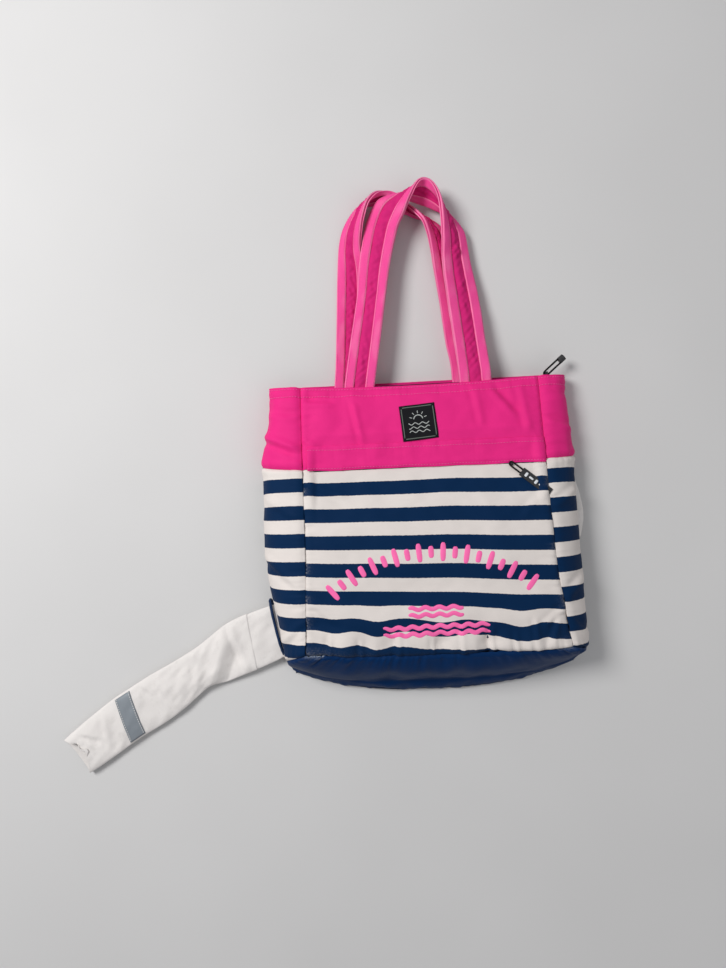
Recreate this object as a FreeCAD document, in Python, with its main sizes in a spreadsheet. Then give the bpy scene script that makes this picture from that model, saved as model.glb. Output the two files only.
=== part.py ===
import FreeCAD, Part
import math
import os
import Sketcher

# A zipped beach tote lying on its back: front face up (+Z), mouth and handles towards +Y,
# X across.  The origin is the centre of the back panel, on the surface that the bag lies on.
# Lengths are millimetres and angles are degrees.

Vector = FreeCAD.Vector

DIMENSIONS = {
    # shell: half widths and heights at the mouth, the colour seam, the middle and the foot
    "mouth_y": 172, "seam_y": 76, "mid_y": -30, "foot_y": -140,
    "front_mouth": 137, "front_seam": 139.5, "front_mid": 140, "front_foot": 147,
    "left_fold_mouth": 175, "left_fold_seam": 186, "left_fold_mid": 186, "left_fold_foot": 174,
    "right_fold_mouth": 168, "right_fold_seam": 173, "right_fold_mid": 175, "right_fold_foot": 174,
    "back_mouth": 150, "back_seam": 160, "back_mid": 165, "back_foot": 166,
    "front_mouth_z": 32, "front_tilt": 7.3, "front_foot_z": 61.5, "back_mouth_z": 6,
    "fold_low_z": 4, "fold_high_z": 20, "fold_mouth_high_z": 25, "wall": 4, "edge_mitre": 2, "fold_mitre": 2.5,
    # base: how far the bowed bottom edge stands below the foot, in the middle and at the sides
    "base_bow": 50, "base_side": 22, "base_half": 172, "base_bow_half": 105, "base_lip": 1.5,
    # lining, pocket and channel
    "lining_wall": 1, "lining_front_z": 34, "lining_top_y": 138,
    "pocket_back_z": 34.2, "pocket_half": 134, "pocket_top_y": 97,
    "slot_low_z": 6, "slot_high_z": 18,
    "left_slot_top": -74, "left_slot_foot": -136, "right_slot_top": 50, "right_slot_foot": -16,
    "binding_wall": 1.2,
    # zips
    "pocket_zip_half": 126, "pocket_zip_low_y": 72, "pocket_zip_high_y": 89,
    "coil_size": 2, "tape_thick": 0.8, "pocket_zip_gap": 6, "pocket_slider_x": 96,
    "flap_half": 135, "flap_height": 23.5, "flap_thick": 1.5, "flap_lift": 0.5,
    "main_zip_half": 156, "main_zip_y": 169.2, "main_zip_z": 18, "main_zip_gap": 7,
    "main_slider_x": 148, "facing_thick": 1, "facing_depth": 32, "facing_half": 130,
    # handles
    "strap_thick": 5, "webbing_thick": 3.6, "strap_inner_arc": 24, "webbing_width": 11,
    "pad_width": 14, "arch_centre": 171, "leg_lean": 9.1, "handle_pivot_y": 175.2,
    "front_handle_z": 34.6, "front_handle_x": -3, "front_handle_tilt": 6.1,
    "back_handle_z": 2.8, "back_handle_x": -14, "anchor_length": 26, "anchor_thick": 2,
    # stick sleeve
    "sleeve_thick": 10, "sleeve_wall": 1.2, "exit_half": 30, "exit_x": -179.6, "exit_y": -105,
    "exit_z": 12, "exit_turn": 5.4, "sleeve_tilt": 3.3, "crease_x": -275, "crease_y": -139.5,
    "sleeve_turn": 35.2, "lower_z": 0.8, "reflector_skin": 0.6,
    # trim
    "label_size": 41, "label_thick": 1.2, "label_x": -6, "label_drop": 48, "label_turn": -4,
    "ray_count": 19, "ray_length": 20, "ray_width": 4.5, "print_thick": 0.4,
    "print_arc": 165, "print_arc_drop": 18, "print_spread": 78,
}

doc = FreeCAD.newDocument("BeachBag")
sheet = doc.addObject("Spreadsheet::Sheet", "Dims")
for row, (alias, value) in enumerate(DIMENSIONS.items(), start=1):
    sheet.set(f"A{row}", alias)
    sheet.set(f"B{row}", str(value))
    sheet.setAlias(f"B{row}", alias)
DERIVED = {
    "front_seam_z": "=front_mouth_z + (mouth_y - seam_y) * tan(front_tilt * 1deg)",
    "front_mid_z": "=front_mouth_z + (mouth_y - mid_y) * tan(front_tilt * 1deg)",
    "lower_front_tilt": "=atan((front_foot_z - front_mid_z) / (mid_y - foot_y)) / 1deg",
    "pocket_shelf_z": "=front_mouth_z + (mouth_y - pocket_top_y) * tan(front_tilt * 1deg)",
    "back_tilt": "=atan(back_mouth_z / (mouth_y - seam_y)) / 1deg",
}
for row, (alias, formula) in enumerate(DERIVED.items(), start=len(DIMENSIONS) + 1):
    sheet.set(f"A{row}", alias)
    sheet.set(f"B{row}", formula)
    sheet.setAlias(f"B{row}", alias)
doc.recompute()

parts = []


def dim(alias):
    """A dimension's value, read back from the sheet."""
    return float(sheet.get(alias))


def bound(expression):
    """An expression's value, with every name in it taken from the sheet."""
    return float(sheet.evalExpression(expression))


def keep(item, label):
    """Give a finished sub-part its label, which names its file."""
    item.Label = label
    parts.append(item)
    return item


# Placements, as expressions, of the tilted faces that trim and zips are built on.
# The front frame starts at the front of the mouth: its Y runs up the front face and its Z out of it.
FRONT_FACE = "placement(vector(0; mouth_y; front_mouth_z); rotation(vector(1; 0; 0); -front_tilt))"
LOWER_FRONT = "placement(vector(0; mid_y; front_mid_z); rotation(vector(1; 0; 0); -lower_front_tilt))"
BACK_FACE = "placement(vector(0; mouth_y; back_mouth_z); rotation(vector(1; 0; 0); back_tilt))"


def in_sheet(expression):
    """The expression with each of the sheet's names prefixed, for use outside the sheet."""
    words = []
    word = ""
    for letter in expression + " ":
        if letter.isalnum() or letter == "_":
            word += letter
            continue
        if word in DIMENSIONS or word in DERIVED:
            word = "Dims." + word
        words.append(word + letter)
        word = ""
    return "".join(words).strip()


def bind(item, prop, expression):
    item.setExpression(prop, in_sheet(expression))


def new_body(label):
    body = doc.addObject("PartDesign::Body", label)
    return keep(body, label)


def plane_sketch(body, name, role, offset="0"):
    """A sketch on one of the body's own origin planes, moved off it by a bound distance."""
    sketch = body.newObject("Sketcher::SketchObject", name)
    plane = [item for item in body.Origin.OriginFeatures if item.Role == role][0]
    sketch.AttachmentSupport = [(plane, "")]
    sketch.MapMode = "FlatFace"
    if offset != "0":
        sign = "-1 * " if role == "XZ_Plane" else ""
        bind(sketch, "AttachmentOffset.Base.z", f"{sign}({offset})")
    return sketch


def pin_point(sketch, edge, end, place):
    """Hold an edge's end at a place given as two expressions."""
    for kind, value in zip(("DistanceX", "DistanceY"), place):
        index = sketch.addConstraint(
            Sketcher.Constraint(kind, -1, 1, edge, end, bound(value)))
        bind(sketch, f"Constraints[{index}]", value)


def polygon(sketch, places):
    """A closed outline of straight edges through the places."""
    points = [Vector(bound(x), bound(y), 0) for x, y in places]
    first = sketch.GeometryCount
    count = len(points)
    for i in range(count):
        sketch.addGeometry(Part.LineSegment(points[i], points[(i + 1) % count]), False)
    for i in range(count):
        joint = (first + i, 2, first + (i + 1) % count, 1)
        sketch.addConstraint(Sketcher.Constraint("Coincident", *joint))
        pin_point(sketch, first + i, 1, places[i])


def pad(body, name, role, places, length, offset="0"):
    sketch = plane_sketch(body, name + "_sketch", role, offset)
    polygon(sketch, places)
    feature = body.newObject("PartDesign::Pad", name)
    feature.Profile = sketch
    bind(feature, "Length", length)
    return feature


def cut(body, name, role, places, length, offset="0", forwards=False):
    """A pocket that runs from its sketch against the plane's normal, or along it."""
    doc.recompute()
    before = body.Shape.Volume
    sketch = plane_sketch(body, name + "_sketch", role, offset)
    polygon(sketch, places)
    feature = body.newObject("PartDesign::Pocket", name)
    feature.Profile = sketch
    feature.Reversed = forwards
    bind(feature, "Length", length)
    doc.recompute()
    if body.Shape.Volume >= before:
        raise RuntimeError(f"{body.Label}: {name} cuts nothing")
    return feature


def loft(body, name, role, sections, kind="PartDesign::AdditiveLoft"):
    """A straight-sided loft through outlines of as many points, each at a bound offset."""
    sketches = []
    for number, (offset, places) in enumerate(sections):
        sketch = plane_sketch(body, f"{name}_sketch{number}", role, offset)
        polygon(sketch, places)
        sketches.append(sketch)
    doc.recompute()
    feature = body.newObject(kind, name)
    feature.Profile = sketches[0]
    feature.Sections = [(sketch, [""]) for sketch in sketches[1:]]
    feature.Ruled = True
    doc.recompute()
    return feature


def rectangle(x_low, x_high, y_low, y_high):
    return [(x_low, y_low), (x_high, y_low), (x_high, y_high), (x_low, y_high)]


def block(name, low, high, placement=None):
    """A plain box between two corners given as expressions, in a placement's own frame."""
    box = doc.addObject("Part::Box", name)
    for prop, start, end in zip(("Length", "Width", "Height"), low, high):
        bind(box, prop, f"({end}) - ({start})")
    corner = f"vector({low[0]}; {low[1]}; {low[2]})"
    place = f"placement({corner}; rotation(vector(0; 0; 1); 0))"
    if placement:
        place = f"{placement} * {place}"
    bind(box, "Placement", place)
    return box


def joined(label, pieces):
    fuse = doc.addObject("Part::MultiFuse", label)
    fuse.Shapes = pieces
    return keep(fuse, label)


def group(label, pieces):
    """Separate solids that share one node."""
    compound = doc.addObject("Part::Compound", label)
    compound.Links = pieces
    return keep(compound, label)


# ---------------------------------------------------------------- shell

STATIONS = ["mouth", "seam", "mid", "foot"]
BACK_Z = {"mouth": "back_mouth_z", "seam": "0", "mid": "0", "foot": "0"}
FOLD_TOP = {"mouth": "fold_mouth_high_z", "seam": "fold_high_z", "mid": "fold_high_z",
            "foot": "fold_high_z"}


def outer_front(station):
    return f"front_{station}", f"front_{station}_z"


def inner_front(station):
    return f"front_{station} - edge_mitre", f"front_{station}_z - wall"


def outer_back(station):
    return f"back_{station}", BACK_Z[station]


def inner_back(station):
    return f"back_{station}", f"{BACK_Z[station]} + wall"


def mirror(place):
    return f"-1 * ({place[0]})", place[1]


def gusset_section(station, side):
    """The gusset's wall at a station: front seam, outer fold, back seam, and back inside."""
    fold = f"{side}_fold_{station}"
    places = [
        outer_front(station),
        (fold, FOLD_TOP[station]),
        (fold, "fold_low_z"),
        outer_back(station),
        inner_back(station),
        (f"{fold} - wall", "fold_low_z + fold_mitre"),
        (f"{fold} - wall", f"{FOLD_TOP[station]} - fold_mitre"),
        inner_front(station),
    ]
    return places if side == "right" else [mirror(place) for place in places]


def gusset(label, side, stations):
    body = new_body(label)
    sections = [(f"{s}_y", gusset_section(s, side)) for s in stations]
    loft(body, label + "_wall", "XZ_Plane", sections)
    return body


def slot_cut(body, side):
    """The stick's slot through an outer fold."""
    places = rectangle(f"{side}_slot_foot", f"{side}_slot_top", "slot_low_z", "slot_high_z")
    cut(body, body.Label + "_slot", "YZ_Plane", places, f"{side}_fold_mid + wall",
        forwards=side == "right")


def gussets():
    for side in ("left", "right"):
        gusset(f"{side}_gusset_band", side, STATIONS[:2])
        slot_cut(gusset(f"{side}_gusset_panel", side, STATIONS[1:]), side)


def front_section(station):
    outer = outer_front(station)
    inner = inner_front(station)
    return [mirror(outer), outer, inner, mirror(inner)]


def back_section(station):
    outer = outer_back(station)
    inner = inner_back(station)
    return [mirror(outer), outer, inner, mirror(inner)]


def zip_window(body, name):
    places = rectangle("-1 * pocket_zip_half", "pocket_zip_half",
                       "pocket_zip_low_y", "pocket_zip_high_y")
    cut(body, name, "XY_Plane", places, "2 * front_foot_z", "2 * front_foot_z")


def front():
    band = new_body("front_band")
    sections = [(f"{s}_y", front_section(s)) for s in STATIONS[:2]]
    loft(band, "front_band_wall", "XZ_Plane", sections)
    zip_window(band, "band_zip_window")
    panel = new_body("front_pocket_panel")
    sections = [(f"{s}_y", front_section(s)) for s in STATIONS[1:]]
    loft(panel, "front_panel_wall", "XZ_Plane", sections)
    zip_window(panel, "panel_zip_window")


def bowed_edge(half, side_y, bow_half, bow_y, deep_y, top_y):
    """The base's outline from above: straight across at the foot, bowed at the bottom edge."""
    return [
        (f"-1 * ({half})", top_y), (half, top_y),
        (half, side_y), (bow_half, bow_y), ("0", deep_y),
        (f"-1 * ({bow_half})", bow_y), (f"-1 * ({half})", side_y),
    ]


def back():
    band = new_body("back_band")
    loft(band, "back_band_wall", "XZ_Plane", [(f"{s}_y", back_section(s)) for s in STATIONS[:2]])
    panel = new_body("back_panel")
    sides = [(f"back_{s}", f"{s}_y") for s in STATIONS[1:]]
    bow = bowed_edge("back_foot", "foot_y - base_side", "base_bow_half",
                     "foot_y - base_bow * 0.84", "foot_y - base_bow", "foot_y")
    places = sides + bow[2:] + [mirror(place) for place in reversed(sides)]
    pad(panel, "back_panel_wall", "XY_Plane", places, "wall")


def base_section(inset, level):
    """The base's outline at one height, drawn in by an inset everywhere but at its open side."""
    top_y = "foot_y" if inset == "0" else "foot_y + wall"
    if level == "top":
        half, side, bow = "front_foot", "base_lip", "base_lip * 2"
        mid = "base_lip * 1.7"
    elif level == "fold":
        half, side, bow = "right_fold_foot", "base_side * 0.9", "base_bow * 0.88"
        mid = "base_bow * 0.72"
    else:
        half, side, bow = "base_half", "base_side", "base_bow"
        mid = "base_bow * 0.84"
    return bowed_edge(f"{half} - {inset}", f"foot_y - ({side}) + {inset}",
                      f"base_bow_half - {inset}", f"foot_y - ({mid}) + {inset}",
                      f"foot_y - ({bow}) + {inset}", top_y)


def base():
    panel = new_body("base_panel")
    levels = [("wall", "floor"), ("fold_high_z", "fold"), ("front_foot_z", "top")]
    loft(panel, "base_outside", "XY_Plane", [(z, base_section("0", n)) for z, n in levels])
    levels = [("wall - 1", "floor"), ("fold_high_z", "fold"), ("front_foot_z - wall", "top")]
    inner = [(z, base_section("wall", n)) for z, n in levels[:2]]
    inner.append((levels[2][0], bowed_edge("front_foot - wall", "foot_y + wall * 0.4",
                                           "base_bow_half - wall", "foot_y + wall * 0.3",
                                           "foot_y + wall * 0.2", "foot_y + wall")))
    loft(panel, "base_inside", "XY_Plane", inner, "PartDesign::SubtractiveLoft")
    board = new_body("base_board")
    places = [("foot_y - 2", "front_foot_z - 11"), ("foot_y", "front_foot_z - 11"),
              ("foot_y - 15", "wall + 3"), ("foot_y - 17", "wall + 3")]
    pad(board, "board", "YZ_Plane", places, "2 * front_foot - 18", "9 - front_foot")


# ---------------------------------------------------------------- inside

# The lining's half width along its back, and the heights of its front and back, at each station;
# then how far its front edge and its outer fold reach to either side.
LINING = {
    "foot": ("162", "lining_front_z", "wall"),
    "mid": ("162", "lining_front_z", "wall"),
    "seam": ("156", "lining_front_z", "wall"),
    "top": ("150", "lining_front_z - 2", "wall * 2 + 0.3"),
}
LINING_REACH = {
    "left": {"foot": ("158", "168"), "mid": ("158", "180"), "seam": ("146", "180"), "top": ("134", "172")},
    "right": {"foot": ("158", "168"), "mid": ("153", "169"), "seam": ("144", "167"), "top": ("134", "163.5")},
}


def lining_side(side, station, inset):
    """One side of the lining at a station, from its front edge to its back edge, drawn in."""
    back_half, front_z, back_z = LINING[station]
    front_half, fold = LINING_REACH[side][station]
    return [
        (f"{front_half} - {inset}", f"{front_z} - {inset}"),
        (f"{fold} - {inset}", "fold_high_z - fold_mitre"),
        (f"{fold} - {inset}", "fold_low_z + fold_mitre + 0.8"),
        (f"{back_half} - {inset}", f"{back_z} + {inset}"),
    ]


def lining_section(station, inset):
    left = [mirror(place) for place in lining_side("left", station, inset)]
    return lining_side("right", station, inset) + left[::-1]


def channel():
    """The stick's way across the bag: two sheets sewn along both edges, slanted between the slots."""
    ends = ("right_fold_mid - 15.5", "-1 * (left_fold_mid - 15.5)")
    tops = ("right_slot_top - 1", "left_slot_top - 1")
    feet = ("right_slot_foot + 1", "left_slot_foot + 1")
    low, high = "slot_low_z + 0.3", "slot_high_z - 0.3"

    def strip(name, edge_a, edge_b, start, thick):
        body = doc.addObject("PartDesign::Body", name)
        places = [(ends[0], edge_a[0]), (ends[0], edge_b[0]), (ends[1], edge_b[1]), (ends[1], edge_a[1])]
        pad(body, name, "XY_Plane", places, thick, start)
        return body

    def inwards(edge, sign):
        return [f"{place} {sign} lining_wall" for place in edge]

    hollow = f"({high}) - ({low}) - 2 * lining_wall"
    group("stick_channel", [
        strip("channel_front_sheet", tops, feet, f"{high} - lining_wall", "lining_wall"),
        strip("channel_back_sheet", tops, feet, low, "lining_wall"),
        strip("channel_top_edge", tops, inwards(tops, "-"), f"{low} + lining_wall", hollow),
        strip("channel_foot_edge", feet, inwards(feet, "+"), f"{low} + lining_wall", hollow),
    ])


def inside():
    lining = new_body("lining")
    offsets = {"foot": "foot_y + 0.5", "mid": "mid_y", "seam": "seam_y", "top": "lining_top_y"}
    sections = [(offsets[s], lining_section(s, "0")) for s in ("top", "seam", "mid", "foot")]
    loft(lining, "lining_outside", "XZ_Plane", sections)
    offsets = {"foot": "foot_y + 0.5 + lining_wall", "mid": "mid_y", "seam": "seam_y",
               "top": "lining_top_y"}
    sections = [(offsets[s], lining_section(s, "lining_wall")) for s in ("top", "seam", "mid", "foot")]
    loft(lining, "lining_inside", "XZ_Plane", sections, "PartDesign::SubtractiveLoft")
    for side in ("left", "right"):
        slot_cut(lining, side)
    channel()

    pocket = new_body("pocket_backing")
    sections = []
    rises = {"foot": "front_foot_z", "mid": "front_mid_z", "seam": "front_seam_z",
             "shelf": "pocket_shelf_z"}
    offsets = {"foot": "foot_y + 0.5", "mid": "mid_y", "seam": "seam_y", "shelf": "pocket_top_y"}
    for station in ("foot", "mid", "seam", "shelf"):
        rim = f"{rises[station]} - wall - 0.1"
        right = [("pocket_half", "pocket_back_z"), ("pocket_half", rim),
                 ("pocket_half - lining_wall", rim),
                 ("pocket_half - lining_wall", "pocket_back_z + lining_wall")]
        places = right + [mirror(place) for place in reversed(right)]
        sections.append((offsets[station], places))
    loft(pocket, "pocket_sheet", "XZ_Plane", sections)
    for name, offset, rise in (("pocket_foot", "foot_y + 1.5", "front_foot_z"),
                               ("pocket_shelf", "pocket_top_y", "pocket_shelf_z")):
        places = rectangle("-1 * pocket_half", "pocket_half", "pocket_back_z",
                           f"{rise} - wall - 0.1")
        pad(pocket, name, "XZ_Plane", places, "lining_wall", offset)


def slot_rim(label, side, top, foot, station_a, station_b, proud, wall):
    """A frame round a slot, standing proud of the gusset's outer fold."""
    fold_a, fold_b = [f"{'right' if side > 0 else 'left'}_fold_{s}" for s in (station_a, station_b)]
    turn = f"atan(({fold_a} - {fold_b}) / ({station_a}_y - {station_b}_y)) / 1deg"
    fold = (f"{fold_a} + ({fold_b} - {fold_a})"
            f" * ({station_a}_y - ({top})) / ({station_a}_y - {station_b}_y)")
    place = (f"placement(vector({side} * ({fold}); {top}; 0);"
             f" rotation(vector(0; 0; 1); {-side} * ({turn})))")
    reach = f"({foot}) - ({top})"
    low_x, high_x = ("0", proud) if side > 0 else (f"-1 * ({proud})", "0")
    outside = block(label + "_outside", (low_x, f"{reach} - {wall}", f"slot_low_z - {wall}"),
                    (high_x, f"{wall}", f"slot_high_z + {wall}"), place)
    hole = block(label + "_hole", (f"{low_x} - 1", reach, "slot_low_z"),
                 (f"{high_x} + 1", "0", "slot_high_z"), place)
    ring = doc.addObject("Part::Cut", label)
    ring.Base = outside
    ring.Tool = hole
    keep(ring, label)


def facings():
    for name, face, out in (("front", FRONT_FACE, -1), ("back", BACK_FACE, 1)):
        near, far = "wall", "wall + facing_thick"
        levels = (far, near) if out < 0 else (near, far)
        low_z, high_z = [f"{out} * ({level})" for level in levels]
        piece = block(f"{name}_hem_facing", ("-1 * facing_half", "-1 * facing_depth", low_z),
                      ("facing_half", "-0.5", high_z), face)
        keep(piece, f"{name}_hem_facing")
        near, far = far, "wall + facing_thick + anchor_thick"
        levels = (far, near) if out < 0 else (near, far)
        low_z, high_z = [f"{out} * ({level})" for level in levels]
        reach = "(strap_inner_arc / cos(leg_lean * 1deg) + arch_centre * tan(leg_lean * 1deg))"
        tails = []
        for side in (-1, 1):
            inner = f"{name}_handle_x + {side} * {reach}"
            outer = f"({inner}) + {side} * (pad_width + 2 * webbing_width)"
            low_x, high_x = (inner, outer) if side > 0 else (outer, inner)
            tails.append(block(f"{name}_tail_{side + 1}", (low_x, "-6.5 - anchor_length", low_z),
                               (high_x, "-6.5", high_z), face))
        group(f"{name}_handle_tails", tails)


# ---------------------------------------------------------------- zips

def pocket_zip():
    """Tapes, coils, stops, slider and pull of the pocket's zip, built on the front face."""
    low = "-1 * (mouth_y - pocket_zip_low_y) / cos(front_tilt * 1deg)"
    centre = f"({low} + 8.8)"
    half_gap = "pocket_zip_gap / 2"
    half = "pocket_zip_half - 0.3"
    rows = {"lower": (f"{centre} - {half_gap} - coil_size", f"{centre} - {half_gap}"),
            "upper": (f"{centre} + {half_gap}", f"{centre} + {half_gap} + coil_size")}
    for name, (near, far) in rows.items():
        coil = block(f"pocket_zip_{name}_coil", (f"-1 * ({half} - 3)", near, "-1.2 - coil_size"),
                     (f"{half} - 3", far, "-1.2"), FRONT_FACE)
        keep(coil, f"pocket_zip_{name}_coil")
    edges = {"lower": (f"{low} + 0.6", rows["lower"][0]),
             "upper": (rows["upper"][1], f"{rows['upper'][1]} + 3.2")}
    for name, (near, far) in edges.items():
        tape = block(f"pocket_zip_{name}_tape", (f"-1 * ({half})", near, "-2 - tape_thick"),
                     (half, far, "-2"), FRONT_FACE)
        keep(tape, f"pocket_zip_{name}_tape")
    stops = []
    for side in (-1, 1):
        ends = (f"{side} * ({half} - 1.5) - 1.3", f"{side} * ({half} - 1.5) + 1.3")
        stops.append(block(f"pocket_stop_{side + 1}", (ends[0], rows["lower"][0], "-3.4"),
                           (ends[1], rows["upper"][1], "-1"), FRONT_FACE))
    group("pocket_zip_stops", stops)

    x = "pocket_slider_x"
    plate_low = f"{centre} - 6.2"
    plate_high = f"{centre} + 6.2"
    slider = [
        block("pocket_slider_top", (f"{x} - 5.5", plate_low, "-0.9"),
              (f"{x} + 5.5", plate_high, "0.1"), FRONT_FACE),
        block("pocket_slider_neck", (f"{x} - 3.5", f"{centre} - 2.4", "-4"),
              (f"{x} + 3.5", f"{centre} + 2.4", "-0.5"), FRONT_FACE),
        block("pocket_slider_under", (f"{x} - 5", f"{centre} - 5.4", "-4.6"),
              (f"{x} + 5", f"{centre} + 5.4", "-3.5"), FRONT_FACE),
        block("pocket_slider_step", (f"{x} - 2", f"{plate_low}", "-0.5"),
              (f"{x} + 2", f"{plate_low} + 1", "1.5"), FRONT_FACE),
        block("pocket_slider_arm", (f"{x} - 2", f"{plate_low} - 5.2", "0.5"),
              (f"{x} + 2", f"{plate_low} + 1", "1.5"), FRONT_FACE),
    ]
    post = doc.addObject("Part::Cylinder", "pocket_slider_post")
    post.Radius = 1.1
    post.Height = 2.6
    bind(post, "Placement", f"{FRONT_FACE} * placement(vector({x}; {plate_low} - 3.6; 1.2);"
                            " rotation(vector(0; 0; 1); 0))")
    joined("pocket_zip_slider", slider + [post])

    hinge = f"vector({x}; {plate_low} - 3.6; 0)"
    aim = f"{FRONT_FACE} * placement({hinge}; rotation(vector(0; 0; 1); -41))"
    loop_path("pocket_zip_puller_loop", aim, 2.4, 14, 1.0, 2.85)
    tab = block("pocket_zip_puller_tab", ("14", "-5", "1.6"), ("54", "5", "4.1"), aim)
    keep(tab, "pocket_zip_puller_tab")

    lip = f"{centre} - 2.9"
    flap = block("pocket_zip_flap", ("-1 * flap_half", lip, "flap_lift"),
                 ("flap_half", f"{lip} + flap_height", "flap_lift + flap_thick"), FRONT_FACE)
    keep(flap, "pocket_zip_flap")


def loop_path(label, aim, bend, reach, radius, level):
    """A doubled cord round a post: out from its end, round the post and back, one tube."""
    left_end = Vector(reach, bend, level)
    left = Vector(0, bend, level)
    turn = Vector(-bend, 0, level)
    right = Vector(0, -bend, level)
    right_end = Vector(reach, -bend, level)
    wire = Part.Wire([
        Part.LineSegment(left_end, left).toShape(),
        Part.Arc(left, turn, right).toShape(),
        Part.LineSegment(right, right_end).toShape(),
    ])
    disc = Part.Face(Part.Wire(Part.makeCircle(radius, left_end, Vector(1, 0, 0))))
    tube = wire.makePipeShell([disc.OuterWire], True, False)
    section = math.pi * radius ** 2
    print(label, "length", round(wire.Length, 1), "radius", bend,
          "volume ratio", round(tube.Volume / (section * wire.Length), 4))
    cord = doc.addObject("Part::Feature", label)
    cord.Shape = tube
    bind(cord, "Placement", aim)
    return keep(cord, label)


def main_zip():
    """The mouth's zip: it faces out of the mouth, with its coils apart and its slider at one end."""
    y = "main_zip_y"
    low = "main_zip_z - main_zip_gap / 2"
    high = "main_zip_z + main_zip_gap / 2"
    half = "main_zip_half"
    for name, near, far in (("back", f"{low} - coil_size", low), ("front", high, f"{high} + coil_size")):
        coil = block(f"main_zip_{name}_coil", (f"-1 * {half}", f"{y} - coil_size / 2", near),
                     (half, f"{y} + coil_size / 2", far))
        keep(coil, f"main_zip_{name}_coil")
    tape_y = (f"{y} - tape_thick / 2", f"{y} + tape_thick / 2")
    for name, near, far in (("back", f"{low} - coil_size - 1.2", f"{low} - coil_size"),
                            ("front", f"{high} + coil_size", f"{high} + coil_size + 3.2")):
        tape = block(f"main_zip_{name}_tape", ("-1 * facing_half", tape_y[0], near),
                     ("facing_half", tape_y[1], far))
        keep(tape, f"main_zip_{name}_tape")
    stops = [
        block("main_stop_end", (half, f"{y} - 1.2", f"{low} - coil_size + 0.5"),
              (f"{half} + 2.4", f"{y} + 1.2", f"{high} + coil_size - 1")),
        block("main_stop_low", (f"-1 * {half} - 2.4", f"{y} - 1.2", f"{low} - coil_size"),
              (f"-1 * {half}", f"{y} + 1.2", low)),
        block("main_stop_high", (f"-1 * {half} - 2.4", f"{y} - 1.2", high),
              (f"-1 * {half}", f"{y} + 1.2", f"{high} + coil_size - 1")),
    ]
    group("main_zip_stops", stops)

    x = "main_slider_x"
    z = "main_zip_z"
    slider = [
        block("main_slider_under", (f"{x} - 5", f"{y} - 2.6", f"{z} - 6.2"),
              (f"{x} + 5", f"{y} - 1.3", f"{z} + 6.2")),
        block("main_slider_neck", (f"{x} - 4", f"{y} - 2", f"{z} - 3"),
              (f"{x} + 4", f"{y} + 2", f"{z} + 3")),
        block("main_slider_top", (f"{x} - 5", f"{y} + 1.3", f"{z} - 6.2"),
              (f"{x} + 5", f"{y} + 2.6", f"{z} + 6.2")),
    ]
    for side in (-1, 1):
        ear = (f"{z} + {side} * 3 - 0.6", f"{z} + {side} * 3 + 0.6")
        slider.append(block(f"main_slider_ear_{side + 1}", (f"{x} - 1.6", f"{y} + 2", ear[0]),
                            (f"{x} + 1.6", f"{y} + 8.2", ear[1])))
    pin = doc.addObject("Part::Cylinder", "main_slider_pin")
    pin.Radius = 1.0
    pin.Height = 6.8
    bind(pin, "Placement", f"placement(vector({x}; {y} + 6.8; {z} - 3.4); rotation(vector(0; 0; 1); 0))")
    joined("main_zip_slider", slider + [pin])

    aim = f"placement(vector({x}; {y} + 6.8; {z}); rotation(vector(0; 0; 1); 40))"
    loop_path("main_zip_puller_cord", aim, 2.6, 21, 1.1, 0)
    knot = doc.addObject("Part::Cylinder", "main_zip_puller_end")
    knot.Radius = 3.9
    knot.Height = 7
    bind(knot, "Placement", f"{aim} * placement(vector(21; 0; 0); rotation(vector(0; 1; 0); 90))")
    keep(knot, "main_zip_puller_end")


# ---------------------------------------------------------------- handles

def arch(body, name, inner, outer, thick):
    """A flat strap bent into an arch: two leaning legs joined by a round crown."""
    sketch = plane_sketch(body, name + "_sketch", "XY_Plane", f"-1 * ({thick}) / 2")
    lean = math.radians(dim("leg_lean"))
    centre = dim("arch_centre")
    edges = []
    for radius, turn in ((bound(outer), 1), (bound(inner), -1)):
        foot = Vector(radius / math.cos(lean) + centre * math.tan(lean), 0, 0)
        touch = Vector(radius * math.cos(lean), centre + radius * math.sin(lean), 0)
        crown = Part.ArcOfCircle(Part.Circle(Vector(0, centre, 0), Vector(0, 0, 1), radius),
                                 lean, math.pi - lean)
        left_foot = Vector(-foot.x, 0, 0)
        left_touch = Vector(-touch.x, touch.y, 0)
        edges += [Part.LineSegment(foot, touch), crown, Part.LineSegment(left_touch, left_foot)]
    ends = [Part.LineSegment(edges[2].EndPoint, edges[5].EndPoint),
            Part.LineSegment(edges[3].StartPoint, edges[0].StartPoint)]
    sketch.addGeometry(edges + ends, False)
    links = [(0, 2, 1, 1), (1, 2, 2, 1), (2, 2, 6, 1), (6, 2, 5, 2),
             (5, 1, 4, 2), (4, 1, 3, 2), (3, 1, 7, 1), (7, 2, 0, 1)]
    for link in links:
        sketch.addConstraint(Sketcher.Constraint("Coincident", *link))
    for crown, radius in ((1, outer), (4, inner)):
        pin_point(sketch, crown, 3, ("0", "arch_centre"))
        index = sketch.addConstraint(Sketcher.Constraint("Radius", crown, bound(radius)))
        bind(sketch, f"Constraints[{index}]", radius)
    for leg, end, side, radius in ((0, 1, 1, outer), (2, 2, -1, outer),
                                   (3, 1, 1, inner), (5, 2, -1, inner)):
        reach = f"({radius}) / cos(leg_lean * 1deg) + arch_centre * tan(leg_lean * 1deg)"
        pin_point(sketch, leg, end, (f"{side} * ({reach})", "0.3"))
    feature = body.newObject("PartDesign::Pad", name)
    feature.Profile = sketch
    bind(feature, "Length", thick)


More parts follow.
